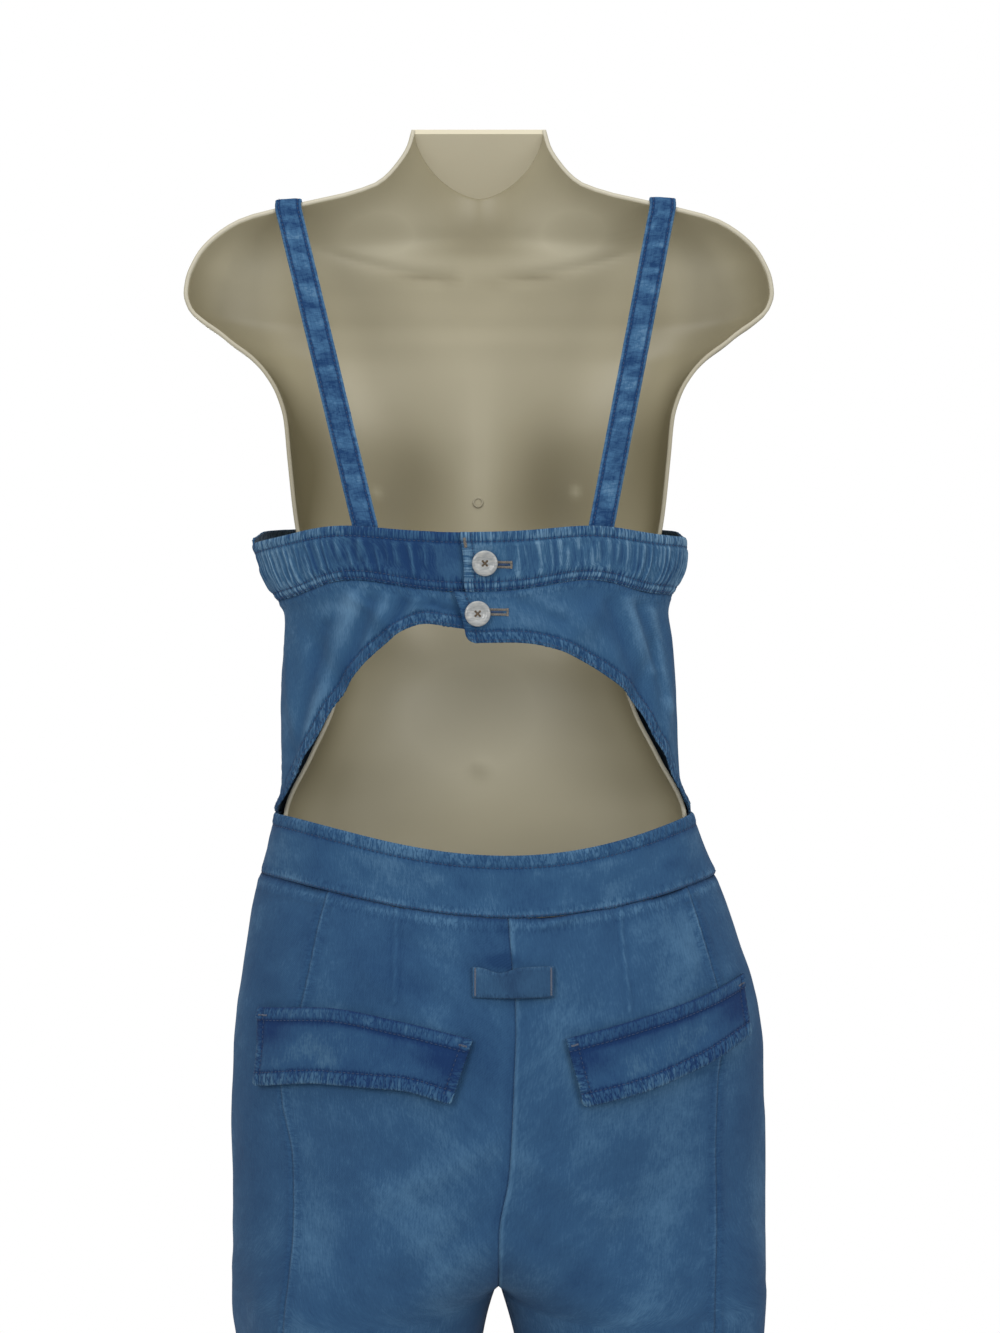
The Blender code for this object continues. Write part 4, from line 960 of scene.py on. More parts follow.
def leg_work(side, from_back):
    """The seams' puckers, the dart and the soft unevenness of a leg panel."""
    outer, inner = ("left", "right") if (side > 0) == from_back else ("right", "left")
    hems = [
        Hem(outer, 0.006, 0.0085, 0.3, 0.00020, 0.10, (), 0.0001),
        Hem("foot", 0.014, 0.0075, 0.5, 0.0005, 0.35),
        Hem("top", 0.009, 0.0080, -0.4, 0.0003, 0.14, ()),
    ]
    middle_lines = LEFT_MIDDLE_LINES if side > 0 else RIGHT_MIDDLE_LINES
    side_lines = BACK_SIDE_LINES if from_back else FRONT_SIDE_LINES
    lines = LEG_TOP_LINES + [line._replace(edge=inner) for line in middle_lines]
    lines += [line._replace(edge=outer) for line in side_lines]

    def work(lay):
        run, climb = lay.flat[..., 0], lay.flat[..., 1]
        seed = 11 + 2 * side + from_back
        rise, worn, seams = sewn(lay, hems, lines, seed + 20)
        clear = smoothstep(0.0, 0.014, lay.ends)
        rise += clear * 0.0010 * rumple(run, climb, 0.045, seed)
        rise += clear * 0.0004 * rumple(run, climb, 0.017, seed + 9)
        worn += 0.22 * rumple(run, climb * 0.5, 0.026, seed + 13)
        low = 1 - smoothstep(0.60, 0.80, lay.points[..., 2])
        rise += clear * low * 0.0016 * rumple(run * 0.45, climb, 0.055, seed + 15)
        creases = creased_by(lay, (BACK_CREASES if from_back else FRONT_CREASES)[side])
        rise += creases * clear
        # Painted light on the creases' crests and painted shade in their troughs.
        worn += LEG_CREASE_SHADING * creases
        if from_back:
            away = near_line(lay, *DARTS[side])
            rise += 0.0005 * groove(away, 0.0, 0.0012) - 0.0004 * groove(away, 0.0022, 0.001)
            worn += 0.45 * groove(away, 0.0, 0.0008) - 0.16 * groove(away, 0.003, 0.002)
            worn += patches_of(lay, SEAT_PATCHES)
        return rise, worn, seams

    return work


def make_legs():
    low, high = HEM_HEIGHT, WAIST_SEAM_HEIGHT
    seat = (SEAT_FOOT_HEIGHT - low) / (high - low)
    back_rows = np.concatenate([np.linspace(0, seat, 130)[:-1], np.linspace(seat, 1, 125)])
    panels = [("back", True, 86, back_rows, 0.23, 0.18), ("front", False, 80, 200, 0.37, 0.31)]
    for side, hand in ((1, "left"), (-1, "right")):
        for panel, from_back, columns, rows, width, area in panels:
            cloth(
                f"leg_{panel}_{hand}", leg_surface(side, from_back), columns, rows,
                leg_work(side, from_back), DENIM, LEG_DENIM,
            )
    for name, lay in LAYS.items():
        sew(f"{name}_hem_stitches", NAVY_THREAD, [seam(lay, "foot", 0.0140)])


make_legs()

# The waistband: a doubled straight strip, cut in a front and a back piece and sewn over the tops
# of the legs, then stitched 8 mm below its upper fold, where the thread has puckered it.

BAND_DENIM = denim("waistband_denim", "#1A395E", "#2D5072", "#547896")
HEM_DEPTH = 0.0082
WAIST_RADIUS = 0.15


def waistband_surface(first, last):
    def surface(u, v):
        angle = first + u * (last - first)
        low = WAIST_SEAM_HEIGHT + SEAM_GAP / 2 - SEAT_SEAM_SAG * sag(angle)
        high = WAISTBAND_TOP - SEAM_GAP / 2 - WAISTBAND_SAG * sag(angle)
        return ring_point(angle, low + v * (high - low))

    return surface


# The dark line at the foot, along the seam, and the one under the top stitching are painted shade;
# the light lines are wear.
WAISTBAND_LINES = rows_of(
    Line,
    ("foot", 0, 0.0009, 0, -0.4), ("foot", 0.0022, 0.0012, 0, 0.22), ("top", 0, 0.001, 0, 0.3),
    ("top", 0.01, 0.0016, 0, -0.2),
)
WAISTBAND_HEMS = [
    Hem("top", HEM_DEPTH, 0.0042, 0.5, 0.00050, 0.22),
    Hem("foot", 0.0055, 0.0070, -0.3, 0.0003, 0.14, ()),
]


def waistband_work(lay):
    run, climb = lay.flat[..., 0], lay.flat[..., 1]
    rise, worn, seams = sewn(lay, WAISTBAND_HEMS, WAISTBAND_LINES, 73)
    rise += 0.0008 * rumple(run, climb, 0.030, 71) + 0.0004 * rumple(run, climb, 0.012, 72)
    worn += 0.24 * rumple(run * 0.6, climb, 0.010, 76) + patches_of(lay, WAIST_PATCHES)
    return rise + 0.0006, worn, seams


def make_waistband():
    quarter, half_gap = math.pi / 2, SEAM_GAP / 2 / WAIST_RADIUS
    panels = [
        ("waistband_back", quarter - half_gap, half_gap - quarter, 440, 38, (0.38, 0.042)),
        ("waistband_front", -quarter - half_gap, half_gap - 3 * quarter, 200, 20,
         (0.41, 0.041)),
    ]
    for name, first, last, columns, rows, flat in panels:
        cloth(
            name, waistband_surface(first, last), columns, rows, waistband_work, DOUBLE_DENIM,
            BAND_DENIM,
        )
    for name, *_ in panels:
        topstitch(name, "double_denim", ("top", HEM_DEPTH), ("foot", 0.0012))


make_waistband()

# The back halves: a bodice panel for each side with an arched, hemmed lower edge. They lap at
# the middle, the right one on top, and the pull of the straps draws slanting folds across them.

BAND_FOOT = 1.2570
BAND_TOP = 1.2965
BAND_LEFT_DROP = 0.0046
BAND_DROPS_DEG = (38.0, 88.0)
STRAP_PULLS_DEG = 34.0
STRAP_PULL_WIDE_DEG = 17.0
STRAP_LIFT_FOOT = 0.0085
STRAP_LIFT_TOP = 0.0050
BAND_LAP_DEG = 1.9
TAB_FOOT_DEG = 2.9
TAB_TOP_DEG = 5.2
UNDER_LAP_DEG = -9.0
UNDERLAP_STEP = 0.0036
UNDERLAP_RAMP_DEG = (5.8, 11.0)
ARCH_HEM = 0.0078
PLACKET_HEM = 0.0072
ARCH_EASE = (-4.0, -2.0, 0.0, 2.0, 4.0)

ArchPoint = namedtuple("ArchPoint", "angle_deg left right")
ARCH = rows_of(
    ArchPoint,
    (-10, 1.232, 1.2232), (5, 1.2325, 1.2235), (12, 1.2362, 1.2238), (18, 1.236, 1.2222),
    (25, 1.2254, 1.2176), (33, 1.2122, 1.2093), (42, 1.1896, 1.198), (50, 1.1662, 1.1872),
    (60, 1.1433, 1.1596), (74, 1.1218, 1.1318), (82, 1.112, 1.1184), (90, 1.1074, 1.1074),
)

Drag = namedtuple("Drag", "side angle_deg height lean spread_deg rise")
DRAGS = rows_of(
    Drag,
    (1, 30, 1.245, 520, 5, 0.0027), (1, 52, 1.215, 420, 6, -0.0027), (1, 70, 1.19, 260, 6, 0.002),
    (-1, 34, 1.24, 480, 6, 0.0026), (-1, 58, 1.205, 360, 6, -0.0027),
    (-1, 74, 1.19, 200, 5, 0.0018),
)

BODICE_DENIM = denim("bodice_denim", "#1D3E63", "#305374", "#577A98")


def strap_lift(angle):
    """The casing rises where a strap pulls on it."""
    return groove(np.abs(np.degrees(angle)), STRAP_PULLS_DEG, STRAP_PULL_WIDE_DEG)


def left_drop(angle):
    """The casing hangs a little lower towards its left end."""
    return BAND_LEFT_DROP * smoothstep(*np.radians(BAND_DROPS_DEG), angle)


def band_foot(angle):
    return BAND_FOOT + STRAP_LIFT_FOOT * strap_lift(angle) - left_drop(angle)


def band_top(angle):
    return BAND_TOP + STRAP_LIFT_TOP * strap_lift(angle) - left_drop(angle)


def underlap(side, angle):
    """The left half steps in, to lie under the right one."""
    low, high = (math.radians(d) for d in UNDERLAP_RAMP_DEG)
    return UNDERLAP_STEP * (1 - smoothstep(low, high, angle)) if side > 0 else 0.0 * angle


def drag_rise(side, angle, height):
    total = np.zeros(np.broadcast(angle, height).shape)
    for drag in DRAGS:
        if drag.side == side:
            middle = drag.angle_deg - drag.lean * (drag.height - height)
            near = np.exp(-(((np.degrees(side * angle) - middle) / drag.spread_deg) ** 2))
            total += drag.rise * near
    return total


CHEST_RADIUS = 0.14
BAND_HALF_GAP = SEAM_GAP / 2 / CHEST_RADIUS
# Each half's side, and the angles of its left and right ends
HALVES = {
    "left": (1, math.pi / 2 - BAND_HALF_GAP, math.radians(UNDER_LAP_DEG)),
    "right": (-1, math.radians(BAND_LAP_DEG), BAND_HALF_GAP - math.pi / 2),
}


def bodice_surface(hand):
    side, start, last = HALVES[hand]

    def surface(u, v):
        first = start
        if side < 0:
            first = np.radians(TAB_FOOT_DEG + v * (TAB_TOP_DEG - TAB_FOOT_DEG))
        angle = first + u * (last - first)
        turned = np.degrees(side * angle)
        low = sum(read(ARCH, hand, turned + step) for step in ARCH_EASE) / len(ARCH_EASE)
        height = low + v * (band_foot(angle) - SEAM_GAP / 2 - low)
        point = ring_point(angle, height, underlap(side, angle))
        inside = smoothstep(0.0, 0.25, u) * smoothstep(0.0, 0.25, 1 - u)
        rise = drag_rise(side, angle, height) * inside * smoothstep(0.0, 0.4, 1 - v)
        outwards = stacked(np.sin(angle), np.cos(angle), 0.0)
        return point + rise[..., None] * outwards

    return surface


BODICE_CREASES = {
    "left": rows_of(
        Crease,
        ((0.083, 1.252), (0.112, 1.165), 0.006, 0.0019),
        ((0.072, 1.251), (0.094, 1.185), 0.0045, -0.0018),
        ((0.061, 1.252), (0.082, 1.196), 0.005, 0.0018),
        ((0.049, 1.25), (0.066, 1.212), 0.0038, -0.0017),
        ((0.04, 1.251), (0.052, 1.222), 0.004, 0.0014),
        ((0.03, 1.249), (0.01, 1.243), 0.003, -0.0013),
        ((0.104, 1.235), (0.124, 1.15), 0.005, -0.0018),
        ((0.036, 1.243), (0.014, 1.237), 0.0026, 0.0012),
    ),
    "right": rows_of(
        Crease,
        ((-0.1, 1.252), (-0.118, 1.205), 0.0045, 0.0018),
        ((-0.108, 1.248), (-0.126, 1.19), 0.0038, -0.0018),
        ((-0.088, 1.25), (-0.112, 1.182), 0.005, -0.0016),
        ((-0.118, 1.245), (-0.13, 1.18), 0.0036, 0.0015),
        ((-0.06, 1.248), (-0.09, 1.215), 0.006, 0.0012),
        ((-0.03, 1.25), (-0.055, 1.238), 0.004, -0.0011),
        ((-0.112, 1.175), (-0.128, 1.14), 0.004, 0.0013),
    ),
}
# Patches on the back halves: painted shadow beside the lapping edge of the right half, and painted
# light and shade over their folds.
BODICE_PATCHES = rows_of(
    Patch,
    (-0.073, 1.239, 0.026, 0.014, -0.3), (-0.03, 1.24, 0.016, 0.008, 0.2),
    (0.088, 1.247, 0.028, 0.0055, 0.34), (-0.1, 1.246, 0.022, 0.006, 0.26),
    (0.0125, 1.239, 0.0045, 0.01, -0.9), (0.03, 1.249, 0.02, 0.004, -0.3),
    (0.06, 1.24, 0.018, 0.01, -0.2), (0.1, 1.23, 0.018, 0.014, 0.18),
    (-0.108, 1.23, 0.012, 0.022, 0.18), (0.118, 1.19, 0.012, 0.03, 0.12),
    (-0.09, 1.212, 0.016, 0.012, -0.18), (0.086, 1.206, 0.014, 0.014, -0.16),
)
BODICE_CREASE_SHADING = 250.0
# The dark line at the top, under the casing, is painted shadow; the light line at the foot is wear,
# and a dark band runs inside the arch hem.
BODICE_LINES = rows_of(
    Line,
    ("foot", 0.45 * ARCH_HEM, 0.0024, 0, -0.3), ("foot", 0, 0.0011, 0, 0.3),
    ("top", 0, 0.0016, 0, -0.5),
)


def bodice_work(hand):
    hems = [
        Hem("foot", ARCH_HEM, 0.0044, 0.8, 0.00065, 0.42),
        Hem("top", 0.005, 0.0062, -0.4, 0.0003, 0.16, ()),
    ]
    if hand == "right":
        hems.append(Hem("left", PLACKET_HEM, 0.0050, 0.6, 0.0004, 0.26))
    seed, slant = (101, 0.55) if hand == "left" else (131, -0.35)

    def work(lay):
        run, climb = lay.left, lay.flat[..., 1]
        rise, worn, seams = sewn(lay, hems, BODICE_LINES, seed + 2)
        lean = run + slant * climb
        rise += 0.0005 * rumple(lean, climb * 0.4, 0.021, seed)
        rise += 0.0003 * rumple(run, climb, 0.012, seed + 1)
        rise += 0.0006 * smoothstep(1.1 * ARCH_HEM, 0.9 * ARCH_HEM, lay.foot)
        inside = smoothstep(0.004, 0.012, lay.foot) * smoothstep(0.0, 0.006, lay.top)
        creases = creased_by(lay, BODICE_CREASES[hand]) * inside
        rise += creases
        # Painted light and shade on the folds, and the patches below.
        worn += BODICE_CREASE_SHADING * creases + patches_of(lay, BODICE_PATCHES)
        worn += 0.20 * rumple(lean, climb * 0.3, 0.015, seed)
        return rise, worn, seams

    return work


# The casings: a doubled strip over wide elastic for each half. The elastic draws it into upright
# gathers, and it is stitched near its top and twice along the seam under it.

CASING_DENIM = denim("casing_denim", "#17365E", "#345878", "#6F8FA8")
CASING_HEM = 0.0066
CASING_SEAM = (0.0016, 0.0062)
CASING_MIDDLE_ROW = 20

GATHERS_START_MM = 3.0
GATHERS_END_MM = 215.0
Gather = namedtuple("Gather", "place_mm wide_mm rise_mm foot top lean")


def gathers_of(hand):
    """The gathers of one casing from its side seam in, uneven in place, width and length."""
    draws = np.random.default_rng(7 if hand == "left" else 8)
    place, made = GATHERS_START_MM, []
    while place < GATHERS_END_MM:
        wide = draws.uniform(1.0, 2.8)
        made.append(
            Gather(place, wide, draws.uniform(0.55, 1.25), draws.choice([0.0, 0.0, 0.3]),
                   draws.choice([1.0, 1.0, 0.72]), draws.uniform(-1.4, 1.4))
        )
        place += draws.uniform(3.4, 7.4)
    return made


def casing_surface(hand):
    side, first, last = HALVES[hand]

    def surface(u, v):
        angle = first + u * (last - first)
        low = band_foot(angle) + SEAM_GAP / 2
        height = low + v * (band_top(angle) - low)
        return ring_point(angle, height, underlap(side, angle))

    return surface


CASING_HEMS = [
    Hem("top", CASING_HEM, 0.0040, 0.25, 0.0005, 0.30),
    Hem("foot", 0.0078, 0.0038, 0.2, 0.0006, 0.34, CASING_SEAM),
]


def casing_work(hand):
    side, first, last = HALVES[hand]
    hems, seed = CASING_HEMS, 161
    if hand == "right":
        hems, seed = CASING_HEMS + [Hem("left", PLACKET_HEM, 0.0050, 0.4, 0.0003, 0.22)], 191

    def work(lay):
        degrees = np.degrees(side * (first + lay.u * (last - first)))
        clear = smoothstep(9, 12, degrees)
        length = (lay.left + lay.right)[CASING_MIDDLE_ROW, :1]
        from_side = (lay.u if hand == "left" else 1 - lay.u) * length
        height = lay.foot + lay.top
        share = (lay.foot - CASING_SEAM[1]) / (height - CASING_SEAM[1] - CASING_HEM)
        rise, worn, seams = sewn(lay, hems, [], seed + 3)
        rise += 0.0003 * rumple(lay.left, lay.foot, 0.016, seed)
        for gather in gathers_of(hand):
            bend = gather.lean * (share + 0.5 * np.sin(3 * share + gather.place_mm))
            off = (1000 * from_side - gather.place_mm - bend) / gather.wide_mm
            # Each gather's crest is painted lighter and the cloth beside it darker: painted
            # highlight and painted shade.
            crest = np.exp(-((off / 0.5) ** 2))
            long = smoothstep(gather.foot - 0.06, gather.foot + 0.16, share)
            long *= (1 - smoothstep(gather.top - 0.16, gather.top + 0.05, share)) * clear
            rise += 0.001 * gather.rise_mm * np.exp(-(off**2)) * long
            shaded = groove(off, 1.3, 0.8) + 0.6 * groove(off, -1.3, 0.8)
            worn += (0.52 * crest - 0.34 * shaded) * long * gather.rise_mm
        lightness = 0.06 + 0.34 * smoothstep(0.060, 0.020, lay.right)
        if hand == "left":
            lightness = -0.50 + 0.60 * smoothstep(0.108, 0.080, lay.left)
        worn += 0.22 * wander(from_side, 0.019, seed + 7) + lightness
        worn += 0.16 * rumple(lay.left, lay.foot * 0.5, 0.007, seed + 8)
        creased, run, away = seams
        between = (creased < 0.3) & (clear > 0)
        seams = np.where(between, 0.34, creased), np.where(between, lay.left, run), away * 0.3
        return rise, worn, seams

    return work


TAN_THREAD = thread("tan_thread", "#5A534C", "#827B70")
FADED_THREAD = thread("faded_thread", "#46505E", "#62687A")
TOP_HOLE = ((-0.0045, 1.2752), (-0.0220, 1.2750))
BOTTOM_HOLE = ((0.0000, 1.2440), (-0.0195, 1.2437))
PLACKET_BAR = ((0.0090, 1.2925), (0.0080, 1.2865))


def on_cloth(lay, x, z):
    """The point of a back panel at this x and height, and the way out from the cloth there."""
    gap = np.hypot(lay.points[..., 0] - x, lay.points[..., 2] - z)
    i, j = np.unravel_index(gap.argmin(), gap.shape)
    near, out = lay.points[i, j], lay.normal[i, j]
    y = near[1] - ((x - near[0]) * out[0] + (z - near[2]) * out[2]) / out[1]
    return np.array([x, y, z]), out


def satin(lay, start, end, long, pitch=0.00042):
    """Close stitches across a line, given as x and z: a bar tack, or one side of a buttonhole."""
    start, end = np.array(start), np.array(end)
    count = max(2, round(np.hypot(*(end - start)) / pitch))
    spots = [on_cloth(lay, *(start + (end - start) * t)) for t in np.linspace(0, 1, count)]
    centre, out = (np.array([spot[k] for spot in spots]) for k in (0, 1))
    along = unit(np.cross(out, unit(centre[-1:] - centre[:1])))
    return Stitches(centre + 0.0002 * out, along, out, long, 0.0005)


def buttonhole(name, lay, start, end):
    """A slit in the cloth between two satin rows, with a bar at its outer end. The slit is drawn as
    a dark navy capsule: painted shade in the cut.
    """
    rise = np.array((0.0, 0.0016))
    rows = [satin(lay, start + side * rise, end + side * rise, 0.0019) for side in (1, -1)]
    rows.append(satin(lay, end + 1.5 * rise, end - 1.5 * rise, 0.0018))
    sew(f"{name}_thread", TAN_THREAD, rows)
    middle, out = on_cloth(lay, *(np.array(start) + end) * 0.5)
    # A dark navy capsule along the slit: painted shade.
    slit = Stitches(middle[None], np.array([[1.0, 0.0, 0.0]]), out[None], 0.0165, 0.0011)
    sew(f"{name}_slit", NAVY_THREAD, [slit])


def make_back_halves():
    for hand in HALVES:
        lower, upper = f"bodice_back_{hand}", f"elastic_band_{hand}"
        cloth(
            lower, bodice_surface(hand), 250, 62, bodice_work(hand), DENIM, BODICE_DENIM,
            [("left", "foot", 0.006)] if hand == "right" else (),
        )
        cloth(
            upper, casing_surface(hand), 330, 38, casing_work(hand), DOUBLE_DENIM, CASING_DENIM,
        )
        below = [("foot", ARCH_HEM), ("foot", 0.0018)]
        above = [("top", CASING_HEM), *(("foot", place) for place in CASING_SEAM)]
        if hand == "right":
            below.append(("left", PLACKET_HEM, 0.06))
            above.append(("left", PLACKET_HEM))
        topstitch(lower, "denim", *below)
        topstitch(upper, "double_denim", *above)
    casing = LAYS["elastic_band_right"]
    buttonhole("buttonhole_top", casing, *TOP_HOLE)
    buttonhole("buttonhole_bottom", LAYS["bodice_back_right"], *BOTTOM_HOLE)
    sew("placket_bar", TAN_THREAD, [satin(casing, *PLACKET_BAR, 0.0024)])


make_back_halves()

# The front bodice: one panel shaped over the bust, hemmed along its straight top edge, which
# the straps hold up. It can't be seen in the photograph and is plain.

FrontEdge = namedtuple("FrontEdge", "angle_deg height")
FRONT_TOP = rows_of(
    FrontEdge,
    (0, 1.344), (25, 1.351), (38, 1.351), (47, 1.325), (56, 1.308), (65, 1.306), (76, 1.3032),
    (84, 1.2985), (90, 1.2965),
)
FRONT_HEM = 0.014
FRONT_TUCK = 0.0004
CHEST_CREASE_SHADING = 90.0
CHEST_CREASES = rows_of(
    Crease,
    ((0.095, 1.325), (0.06, 1.29), 0.006, 0.0014),
    ((-0.096, 1.325), (-0.066, 1.285), 0.006, 0.0016),
    ((0.125, 1.28), (0.095, 1.255), 0.006, 0.0016), ((0.128, 1.262), (0.09, 1.235), 0.006, -0.0014),
    ((-0.122, 1.278), (-0.092, 1.25), 0.007, 0.0014),
    ((-0.125, 1.256), (-0.085, 1.23), 0.006, -0.0016),
    ((0.06, 1.165), (-0.02, 1.15), 0.009, 0.0014), ((-0.07, 1.15), (0.01, 1.135), 0.008, -0.0012),
)


def front_surface(u, v):
    angle = -math.pi / 2 - BAND_HALF_GAP - u * (math.pi - 2 * BAND_HALF_GAP)
    from_middle = np.abs(np.degrees(angle) + 180)
    high = read(FRONT_TOP, "height", from_middle)
    low = WAISTBAND_TOP - FRONT_TUCK
    return ring_point(angle, low + v * (high - low))


FRONT_HEMS = [
    Hem("top", FRONT_HEM, 0.0060, 0.5, 0.0004, 0.30),
    Hem("foot", 0.008, 0.0080, 0.3, 0.0003, 0.16, ()),
    *(Hem(edge, 0.006, 0.0080, 0.3, 0.0003, 0.14, ()) for edge in ("left", "right")),
]


def front_work(lay):
    run, climb = lay.flat[..., 0], lay.flat[..., 1]
    # The dark line at the foot, where the front meets the waistband, is painted shadow.
    rise, worn, seams = sewn(lay, FRONT_HEMS, [Line("foot", 0.0, 0.0014, 0.0, -0.45)], 223)
    rise += 0.0006 * rumple(run, climb, 0.034, 221) + 0.0003 * rumple(run, climb, 0.015, 222)
    creases = creased_by(lay, CHEST_CREASES)
    # Painted light and shade on the creases.
    worn += 0.14 * rumple(run, climb, 0.05, 231) + CHEST_CREASE_SHADING * creases
    return rise + creases, worn, seams


def make_front():
    cloth(
        "bodice_front", front_surface, 150, 90, front_work, DENIM, BODICE_DENIM,
    )
    topstitch("bodice_front", "denim", ("top", FRONT_HEM), ("top", 0.0020))


make_front()

# The straps: doubled strips 18 mm wide, stitched 2 mm inside each edge, sewn in behind the
# casing and the front and worn in a patchy way where they crease.

STRAP_WIDTH = 0.018
STRAP_THICKNESS = 0.0019
STRAP_APART_FRONT = 0.0960
STRAP_OFF_TORSO = 0.0026
STRAP_OVER_RIM = 0.0009
STRAP_ROOM = 0.0021
STRAP_TUCK = 0.0034
STRAP_BRIDGES = 0.0034
STRAP_IN_BAND = (1.284, 1.292, 1.3015)
STRAP_BEHIND = (0.03, 0.10, 0.25, 0.45, 0.65, 0.82, 0.94, 1.0)
STRAP_DROPS = (
    0.002, 0.0045, 0.009, 0.018, 0.032, 0.050, 0.066, 0.080, 0.094, 0.108, 0.125, 0.145,
    0.166, 0.186,
)
Strap = namedtuple("Strap", "name side apart_back apart_crest")
STRAPS = [Strap("strap_left", 1, 0.0770, 0.1300), Strap("strap_right", -1, 0.0845, 0.1256)]
# The light lines at the folded edges are wear; the dark lines at the stitching are painted shade in
# its grooves.
STRAP_LINES = rows_of(
    Line,
    ("ends", 0, 0.0009, -0.0009, 0), ("ends", 0.0024, 0.0007, -0.0004, 0),
    ("ends", 0, 0.0013, 0, 0.62), ("ends", 0.0026, 0.0008, 0, -1.15),
)
STRAP_DENIM = denim("strap_denim", "#17375F", "#3A6084", "#6F90A9")


def rim_height(x):
    """How high the torso's back rim is over the shoulder at this x."""
    heights = np.linspace(1.466, FORM_TOP, 200)
    widths = form("half_width", heights)
    return np.interp(np.abs(x), widths[::-1], heights[::-1])


def on_torso(x, height, off):
    """A point at this x and height on the front of the torso, moved out from it."""
    half_width = form("half_width", height)
    squareness = eased("squareness", height)
    share = np.clip(np.abs(x) / half_width, 0, 0.9995) ** (squareness / 2)
    across = np.sign(x) * np.arcsin(share) * 2 / math.pi
    return torso_point(across, height) + torso_normal(across, height) * off


def strap_edge(strap, offset):
    """The outer face of a strap along one line, from inside the back band to behind the front."""
    points = []
    side = strap.side
    behind = strap.apart_back + offset
    for height in STRAP_IN_BAND:
        from_shift = side * behind - body("shift", height)
        angle = math.asin(from_shift / body("half_width", height))
        points.append(ring_point(angle, height, STRAP_TUCK))
    over = strap.apart_crest + offset
    top = rim_height(over)
    stand = STRAP_BRIDGES * smoothstep(-STRAP_WIDTH / 2, STRAP_WIDTH / 2, offset)
    rim = form("rim", top)
    lift = STRAP_ROOM + STRAP_OVER_RIM
    crest = np.array([side * over, rim + lift, top - 0.004 + 0.8 * stand])
    for share in STRAP_BEHIND:
        points.append(points[len(STRAP_IN_BAND) - 1] * (1 - share) + crest * share)
    points.append(np.array([side * over, rim + 0.6 * lift, top + 0.4 * lift + stand]))
    points.append(np.array([side * over, rim - 0.5 * lift, top + 0.6 * lift + stand]))
    for drop in STRAP_DROPS:
        share = drop / STRAP_DROPS[-1]
        x = side * (over + share * (STRAP_APART_FRONT - strap.apart_crest))
        off = lift + (STRAP_OFF_TORSO - STRAP_OVER_RIM) * smoothstep(0, 0.05, drop)
        lying = on_torso(x, rim_height(side * over) - drop, off)
        points.append(lying + np.array([0.0, 0.0, stand * math.exp(-drop / 0.008)]))
    return np.array(points)


def along_path(points, share):
    """Points at shares of the way, by station, along a smooth curve through the given ones."""
    ends = np.vstack([2 * points[0] - points[1], points, 2 * points[-1] - points[-2]])
    at = np.clip(share, -0.02, 1.02) * (len(points) - 1)
    i = np.clip(np.floor(at).astype(int), 0, len(points) - 2)
    t = (at - i)[..., None]
    before, first, second, after = ends[i], ends[i + 1], ends[i + 2], ends[i + 3]
    return 0.5 * (
        2 * first
        + (second - before) * t
        + (2 * before - 5 * first + 4 * second - after) * t**2
        + (3 * first - before - 3 * second + after) * t**3
    )


def strap_work(seed):
    def work(lay):
        across, along, edge = lay.left, lay.flat[..., 1], lay.ends
        patch = rumple(across, along, 0.0065, seed) + 0.7 * rumple(across, along, 0.0034, seed + 1)
        bars = np.tanh(2.2 * rumple(across * 0.45, along, 0.0046, seed + 2))
        rise, worn, _ = sewn(lay, [], STRAP_LINES, seed)
        rise += 0.00022 * patch
        worn += 0.16 * patch + 0.42 * bars * smoothstep(0.0022, 0.0034, edge) - 0.26
        return rise, worn, (0.34 + 0 * edge, 0.70 * along, 0.90 * across)

    return work


def make_straps():
    for strap in STRAPS:
        edges = [
            strap_edge(strap, strap.side * share * STRAP_WIDTH) for share in (0.5, 0.0, -0.5)
        ]

        def surface(u, v, edges=edges):
            lines = [along_path(edge, v) for edge in edges]
            u = u[..., None]
            left, right = lines[0], lines[2]
            return (1 - u) * left + u * right + 4 * u * (1 - u) * (lines[1] - (left + right) / 2)

        gaps = np.linalg.norm(np.diff(edges[1], axis=0), axis=-1)
        counts = [max(2, round(gap / 0.0016)) for gap in gaps]
        fine = [np.linspace(i, i + 1, count + 1)[:-1] for i, count in enumerate(counts)]
        stations = np.append(np.concatenate(fine), len(gaps)) / len(gaps)
        cloth(
            strap.name, surface, 19, stations, strap_work(241 if strap.side > 0 else 251),
            STRAP_THICKNESS, STRAP_DENIM,
        )
        lines = [(edge, 0.0026, 0.02, 0.98) for edge in ("left", "right")]
        topstitch(strap.name, "double_denim", *lines)


make_straps()

# The pocket flaps: doubled, slanted, sewn down along their upper edge only, and stitched 8 mm
# inside all their other edges. Washing has shrunk the thread and left hard puckers there.

FlapSection = namedtuple("FlapSection", "place top_x top_z foot_x foot_z")
FLAPS = {
    "pocket_flap_left": (1, rows_of(
        FlapSection,
        (0, 0.144, 0.9815, 0.1455, 0.931), (0.34, 0.095, 0.986, 0.0975, 0.9385),
        (0.67, 0.049, 0.98, 0.051, 0.9378), (1, 0.0025, 0.97, 0.0163, 0.93),
    )),
    "pocket_flap_right": (-1, rows_of(
        FlapSection,
        (0, -0.056, 0.97, -0.0675, 0.9275), (0.33, -0.097, 0.979, -0.103, 0.9345),
        (0.66, -0.1375, 0.989, -0.1425, 0.947), (1, -0.177, 1.001, -0.179, 0.9625),
    )),
}
FLAP_HEM = 0.0085
FLAP_OFF = 0.0034
FLAP_STANDS_OFF = 0.0030
FLAP_DENIM = denim("flap_denim", "#132F58", "#284A6D", "#53768F")


def leg_angle_at(side, x, height):
    """The angle round a leg of the back point at this x and height."""
    centre, radius = leg_centre(height)
    across = side * (x - body("shift", height))
    return np.arccos(np.clip((centre - across) / radius, -1, 1))


